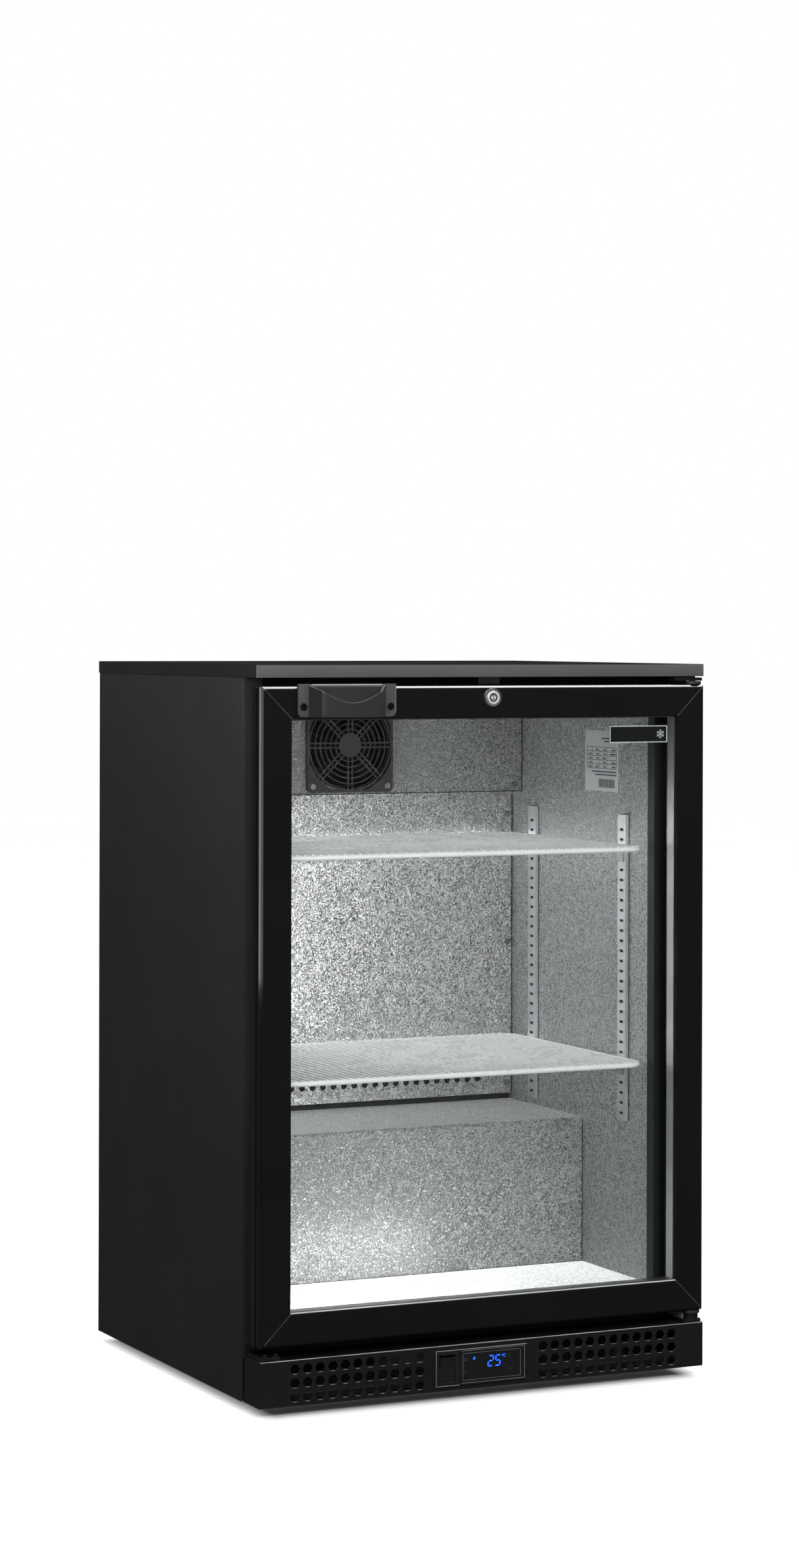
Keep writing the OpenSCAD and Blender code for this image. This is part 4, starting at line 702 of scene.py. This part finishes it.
# Painted light: the lip's paint is an about three times lighter copy of the worktop's, so its front reads
# lit
lip_lit_paint = surface("lip_lit_paint", (0.108, 0.109, 0.112), (0.40, 0.50), specular=0.4, vary=0.10, grain=1100,
                    grain_h=0.00006, edge=0.0)
make("worktop_lip", verts, faces, lip_lit_paint, "cabinet", True, 50)


# ---------------------------------------------------------------- handle

handle_low, handle_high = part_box("door_handle")
handle_x, half_w = (handle_low.x + handle_high.x) / 2, (handle_high.x - handle_low.x) / 2
low_z, top_z = handle_low.z, handle_high.z
door_face = handle_high.y
depth = door_face - handle_low.y
TAB_R, TAB_Y, GRIP_HALF, CORNER_R = 6 * MM, 3.0 * MM, 49 * MM, 6.0 * MM
BULGE, GRIP_STEPS, CORNER_X, CORNER_Y = 1.2 * MM, 18, 0.98, 0.62
SCOOP_LOW, SCOOP_A, SCOOP_K = 17.2 * MM, 30 * MM, 0.73
PATH_ROWS, CUP_FLOOR = 12, 2.6 * MM


def tab_rise(x):
    """How far the round outer corner of a tab lifts its lower edge at x."""
    near = half_w - abs(x)
    return TAB_R - math.sqrt(TAB_R ** 2 - (TAB_R - near) ** 2) if near < TAB_R else 0.0


def handle_path():
    """Plan of the handle's outer face, from its left tab to its right tab, as (x, y, is_grip)."""
    outer = [-half_w + TAB_R * (1 - math.cos(math.radians(a))) for a in (0, 18, 36, 54, 72, 90)]
    pts = [(x, TAB_Y, 0) for x in outer + [-GRIP_HALF - 1.5 * MM, -GRIP_HALF]]
    x0, y0 = -GRIP_HALF + 0.6 * MM, TAB_Y + 1.0 * MM
    x1, y1 = -GRIP_HALF + 9.0 * MM, depth - 4.5 * MM
    pts += [(x0 + (x1 - x0) * t, y0 + (y1 - y0) * t, 1) for t in (0.0, 0.25, 0.5, 0.75, 1.0)]
    cx = x1 + CORNER_R
    for a in (60, 40, 20):
        r = math.radians(a)
        pts.append((cx - CORNER_R * math.sin(r) * CORNER_X,
                    depth - BULGE - CORNER_R * (1 - math.cos(r)) * CORNER_Y, 1))
    left = list(pts)
    for i in range(GRIP_STEPS + 1):
        x = cx - (2 * cx) * i / GRIP_STEPS
        pts.append((x, depth - BULGE * (x / cx) ** 2, 1))
    return pts + [(-x, y, grip) for x, y, grip in reversed(left)]


path = handle_path()
verts, faces = [], []
for x, y, grip in path:
    top = top_z
    if grip:
        rim = low_z + SCOOP_LOW + SCOOP_K * (math.sqrt(x * x + SCOOP_A * SCOOP_A) - SCOOP_A)
        top = min(top_z, rim)
    foot = low_z + tab_rise(x)
    for k in range(PATH_ROWS + 1):
        verts.append((handle_x + x, door_face - y, foot + (top - foot) * k / PATH_ROWS))
stride = PATH_ROWS + 1
for i in range(len(path) - 1):
    for k in range(PATH_ROWS):
        a = i * stride + k
        faces.append([a, a + stride, a + stride + 1, a + 1])
shell = make("handle_grip", verts, faces, MATS["handle_plastic"], "door", True, 40)
shell.data.polygons.foreach_set("use_smooth", [True] * len(shell.data.polygons))
thick = shell.modifiers.new("wall", "SOLIDIFY")
thick.thickness = 2.8 * MM
thick.offset = -1.0
rounded = shell.modifiers.new("round", "BEVEL")
rounded.width = 0.9 * MM
rounded.segments = 3
rounded.limit_method = "ANGLE"
rounded.angle_limit = math.radians(50)
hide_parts("door_handle")

# Painted light: lighter faces on the two tabs, a lit copy of the handle plastic, and painted shade in the
# dark wells round their screws
TAB_IN, TAB_EDGE, WELL_R, WELL_OUT = 49.9 * MM, 0.8 * MM, 4.2 * MM, 5.2 * MM
tab_face_y = door_face - TAB_Y
verts, faces = [], []
for s in (-1, 1):
    edge_x = [half_w - TAB_R * (1 - math.cos(math.radians(a))) for a in range(0, 91, 15)]
    outline = [(handle_x + s * TAB_IN, top_z - TAB_EDGE),
               (handle_x + s * (half_w - TAB_EDGE), top_z - TAB_EDGE)]
    outline += [(handle_x + s * (x - TAB_EDGE), low_z + TAB_EDGE + tab_rise(x)) for x in edge_x]
    outline += [(handle_x + s * TAB_IN, low_z + TAB_EDGE)]
    prism(outline, tab_face_y - 0.12 * MM, tab_face_y + 0.1 * MM, verts, faces)
tab_lit_plastic = surface("tab_lit_plastic", (0.058, 0.058, 0.060), (0.34, 0.46), vary=0.15, patch=60, grain=1800,
                    grain_h=0.00007, edge=0.0)
tab_faces = make("tab_faces", verts, faces, tab_lit_plastic, "door")
screws_low, screws_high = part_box("handle_screws")
screw_dx, screw_z = (screws_high.x - screws_low.x) / 2 - WELL_R, (screws_low.z + screws_high.z) / 2
verts, faces = [], []
for s in (-1, 1):
    ring(handle_x + s * screw_dx, screw_z, WELL_R, WELL_OUT, tab_face_y - 0.22 * MM, tab_face_y, 24,
         verts, faces)
make("screw_wells", verts, faces, lock_dark, "door")

# Floor and back of the cup
floor_pts = [(handle_x + x, door_face - y + 1.5 * MM) for x, y, grip in path if grip]
verts = [(x, y, z) for z in (low_z, low_z + CUP_FLOOR) for x, y in floor_pts]
n = len(floor_pts)
faces = [list(range(n)), [n + i for i in reversed(range(n))]]
faces += [[i, (i + 1) % n, n + (i + 1) % n, n + i] for i in range(n)]
cup = make("handle_floor", verts, faces, MATS["handle_plastic"], "door")
rounded = cup.modifiers.new("round", "BEVEL")
rounded.width, rounded.segments = 0.5 * MM, 2
verts, faces = [], []
BACK_HALF, BACK_COLS, BACK_ROWS = 48.0 * MM, 24, 8
stride = BACK_ROWS + 1
for k in range(BACK_COLS + 1):
    x = -BACK_HALF + 2 * BACK_HALF * k / BACK_COLS
    for j in range(stride):
        t = j / BACK_ROWS
        z = low_z + CUP_FLOOR + (top_z - low_z - CUP_FLOOR) * t
        verts.append((handle_x + x, door_face - 1.2 * MM - 1.6 * MM * (1 - t) ** 3, z))
for k in range(BACK_COLS):
    for j in range(BACK_ROWS):
        a = k * stride + j
        faces.append([a, a + stride, a + stride + 1, a + 1])
back = make("handle_back", verts, faces, MATS["handle_plastic"], "door", True)
thick = back.modifiers.new("wall", "SOLIDIFY")
thick.thickness = 1.0 * MM
thick.offset = 0.0


# ---------------------------------------------------------------- stage, lights and camera

def collect(name, things):
    made = bpy.data.collections.new(name)
    for thing in things:
        made.objects.link(thing)
    return made


def area(name, location, target, size, power, size_y=None, only=None, pieces=(), blocked_by=()):
    """A soft light. It may reach only some nodes and pieces, or be blocked by some things only."""
    light = bpy.data.lights.new(name, "AREA")
    light.shape = "RECTANGLE"
    light.size = size
    light.size_y = size_y or size
    light.energy = power
    ob = bpy.data.objects.new(name, light)
    ob.location = location
    ob.visible_camera = False
    ob.rotation_euler = (Vector(target) - Vector(location)).to_track_quat("-Z", "Y").to_euler()
    scene.collection.objects.link(ob)
    if only:
        lit = [frame["nodes"][node] for node in only] + list(pieces)
        ob.light_linking.receiver_collection = collect(name + "_lit", lit)
    if blocked_by:
        ob.light_linking.blocker_collection = collect(name + "_blockers", blocked_by)


# The floor glows to a clean pale tone everywhere but right under the cabinet, where its shade stays; round
# the cabinet's footprint the glow fades out over a few centimetres as a painted contact shadow
FLOOR_HALF, SHADE_INSET, SHADE_FADE, FLOOR_GLOW = 40.0, 0.03, 25.0, 0.675
floor_mesh = bpy.data.meshes.new("studio_floor")
floor_mesh.from_pydata([(-FLOOR_HALF, -FLOOR_HALF, 0), (FLOOR_HALF, -FLOOR_HALF, 0),
                        (FLOOR_HALF, FLOOR_HALF, 0), (-FLOOR_HALF, FLOOR_HALF, 0)], [], [(0, 1, 2, 3)])
floor = bpy.data.objects.new("studio_floor", floor_mesh)
scene.collection.objects.link(floor)
floor_paint, nt, b = new_material("studio_floor")
clouds = noise(nt, coords(nt), 1.5, 2.0)
nt.links.new(ramp(nt, clouds, [(0.3, (0.86, 0.86, 0.86)), (0.7, (0.9, 0.9, 0.9))]), b.inputs["Base Color"])
b.inputs["Roughness"].default_value = 0.85
b.inputs["Specular IOR Level"].default_value = 0.1
b.inputs["Emission Color"].default_value = (1, 1, 1, 1)
spot = nt.nodes.new("ShaderNodeSeparateXYZ")
nt.links.new(nt.nodes.new("ShaderNodeTexCoord").outputs["Object"], spot.inputs["Vector"])
outside = [maths(nt, "SUBTRACT", maths(nt, "ABSOLUTE", spot.outputs[i]), half)
           for i, half in enumerate((cad_high.x - SHADE_INSET, cad_high.y - SHADE_INSET))]
# Painted contact shadow: the glow fades to nothing towards the cabinet's footprint
away = maths(nt, "MULTIPLY", maths(nt, "MAXIMUM", *outside), SHADE_FADE, True)
nt.links.new(maths(nt, "MULTIPLY", away, FLOOR_GLOW), b.inputs["Emission Strength"])
floor_mesh.materials.append(floor_paint)
floor.visible_glossy = False
floor.visible_diffuse = False
floor.visible_shadow = False
floor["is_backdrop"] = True

world = bpy.data.worlds.new("studio")
scene.world = world
world.use_nodes = True
wn = world.node_tree
rays = wn.nodes.new("ShaderNodeLightPath")


def sky(strength):
    n = wn.nodes.new("ShaderNodeBackground")
    n.inputs["Color"].default_value = (1, 1, 1, 1)
    n.inputs["Strength"].default_value = strength
    return n.outputs["Background"]


def either(ray, other, chosen):
    """The second background for one kind of ray, the first for all others."""
    n = wn.nodes.new("ShaderNodeMixShader")
    wn.links.new(rays.outputs[ray], n.inputs["Fac"])
    wn.links.new(other, n.inputs[1])
    wn.links.new(chosen, n.inputs[2])
    return n.outputs["Shader"]


dim = either("Is Glossy Ray", sky(0.38), sky(0.05))
wn.links.new(either("Is Camera Ray", dim, sky(1.0)), wn.nodes["World Output"].inputs["Surface"])

# Soft light on everything, then on all but the worktop, which it would bleach
handle = [shell, back, cup, tab_faces]
ALL_BUT_TOP = [node for node in frame["nodes"] if node != "worktop"]
area("key_left", (-1.5, -2.1, 1.7), (-0.3, -0.1, 0.6), 1.1, 26)
area("front", (-0.4, -3.6, 2.6), (0, 0, 0.6), 1.2, 60)
area("top", (0.3, 0.0, 2.6), (0, 0, 0), 2.2, 22, only=ALL_BUT_TOP, pieces=[floor] + handle)
area("rear", (0.4, 3.2, 1.3), (0, 0.2, 0.5), 1.4, 40, only=ALL_BUT_TOP)
area("rear_right", (2.6, 2.2, 2.0), (0, 0, 0.5), 1.6, 70, only=ALL_BUT_TOP, pieces=[floor] + handle)
area("rear_left", (-2.6, 2.4, 1.8), (0, 0, 0.5), 1.4, 18, only=ALL_BUT_TOP, pieces=[floor] + handle)

# Light inside: brightest at the left of the back and low on the step, with white shelf rims
INSIDE = ["liner_left", "liner_right", "liner_back", "liner_ceiling", "liner_floor", "liner_step",
          "fan_panel", "duct_panel", "shelf_standards", "shelf_clips", "upper_shelf", "lower_shelf",
          "rating_label", "light_bar", "fan_guard", "evaporator_fan_frame", "evaporator_fan",
          "panel_screws", "throat_frame"]
DUCT = ["duct_panel"]
NOT_DUCT = [node for node in INSIDE if node not in DUCT]
area("inside_left", (0.75, -2.5, 0.3), (-0.1, 0.2, 0.5), 0.5, 6.9, size_y=0.6, only=NOT_DUCT)
area("inside_duct", (0.75, -2.5, 0.3), (-0.1, 0.2, 0.5), 0.5, 1.5, size_y=0.6, only=DUCT)
area("left_strip", (-0.17, 0.03, 0.50), (-0.07, 0.18, 0.50), 0.05, 2.6, size_y=0.55, only=DUCT)
area("low_strip", (-0.08, -0.17, 0.125), (-0.08, 0, 0.14), 0.34, 0.36, size_y=0.03,
     only=["liner_step", "liner_floor", "liner_left"])
area("inside_low", (0.4, -2.5, -0.7), (-0.15, 0, 0.1), 0.5, 4, size_y=0.3, only=NOT_DUCT,
     blocked_by=[floor])
area("inside_top", (0.3, -2.2, 1.5), (0, 0.1, 0.4), 1.0, 6.5, only=NOT_DUCT)
area("rims", (-0.5, -2.6, 0.9), (0, 0, 0.5), 0.6, 14, only=["upper_shelf", "lower_shelf"])
for name, power, node in (("back_floor", 220, "liner_floor"), ("back_step", 55, "liner_step"),
                          ("back_upper", 320, "upper_shelf"), ("back_lower", 52, "lower_shelf")):
    area(name, (0.8, 1.9, 0.55), (0, 0, 0.2), 0.9, power, only=[node], blocked_by=[floor])

# Light on the door's upper edges, along its left edge and on the front of the left side panel
area("door_top", (0.5, -0.3, 2.2), (0, -0.25, 0.8), 1.2, 50, pieces=handle,
     only=["door_rails", "door_stiles", "door_handle", "kick_plate", "controller_bezel", "control_cover",
           "lock_housing", "lock_plug", "spare_bracket", "bottom_hinge", "lock_strike"])
area("edge_front", (-2.15, -0.95, 0.85), (-0.3, -0.25, 0.65), 0.1, 0.6, size_y=1.1, only=["door_stiles"])
area("edge_rear", (-1.85, 1.0, 0.85), (-0.3, -0.25, 0.65), 0.1, 1.0, size_y=1.1, only=["door_stiles"])
area("side_front", (-0.75, -0.7, 0.95), (-0.3, -0.2, 0.75), 0.3, 5, only=["side_panel_left"])

# Camera: level, turned to the right, with its picture shifted down
YAW, ROLL = 0.4469, 0.0025
CAMERA_AT, SENSOR, LENS, SHIFT_Y = (-1.9404, -4.0503, 0.9138), 36.0, 81.98, -0.0971
forward = Vector((math.sin(YAW), math.cos(YAW), 0))
right = Vector((math.cos(YAW), -math.sin(YAW), 0))
up = Vector((0, 0, 1))
rolled_right = right * math.cos(ROLL) + up * math.sin(ROLL)
rolled_up = up * math.cos(ROLL) - right * math.sin(ROLL)
cam_data = bpy.data.cameras.new("camera")
cam = bpy.data.objects.new("camera", cam_data)
scene.collection.objects.link(cam)
turn = Matrix((rolled_right, rolled_up, -forward)).transposed()
cam.matrix_world = Matrix.Translation(CAMERA_AT) @ turn.to_4x4()
cam_data.sensor_width = SENSOR
cam_data.lens = LENS
cam_data.shift_y = SHIFT_Y
cam_data.clip_start, cam_data.clip_end = 0.05, 200
scene.camera = cam
scene.view_settings.view_transform = "Standard"
scene.view_settings.look = "None"

low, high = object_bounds()
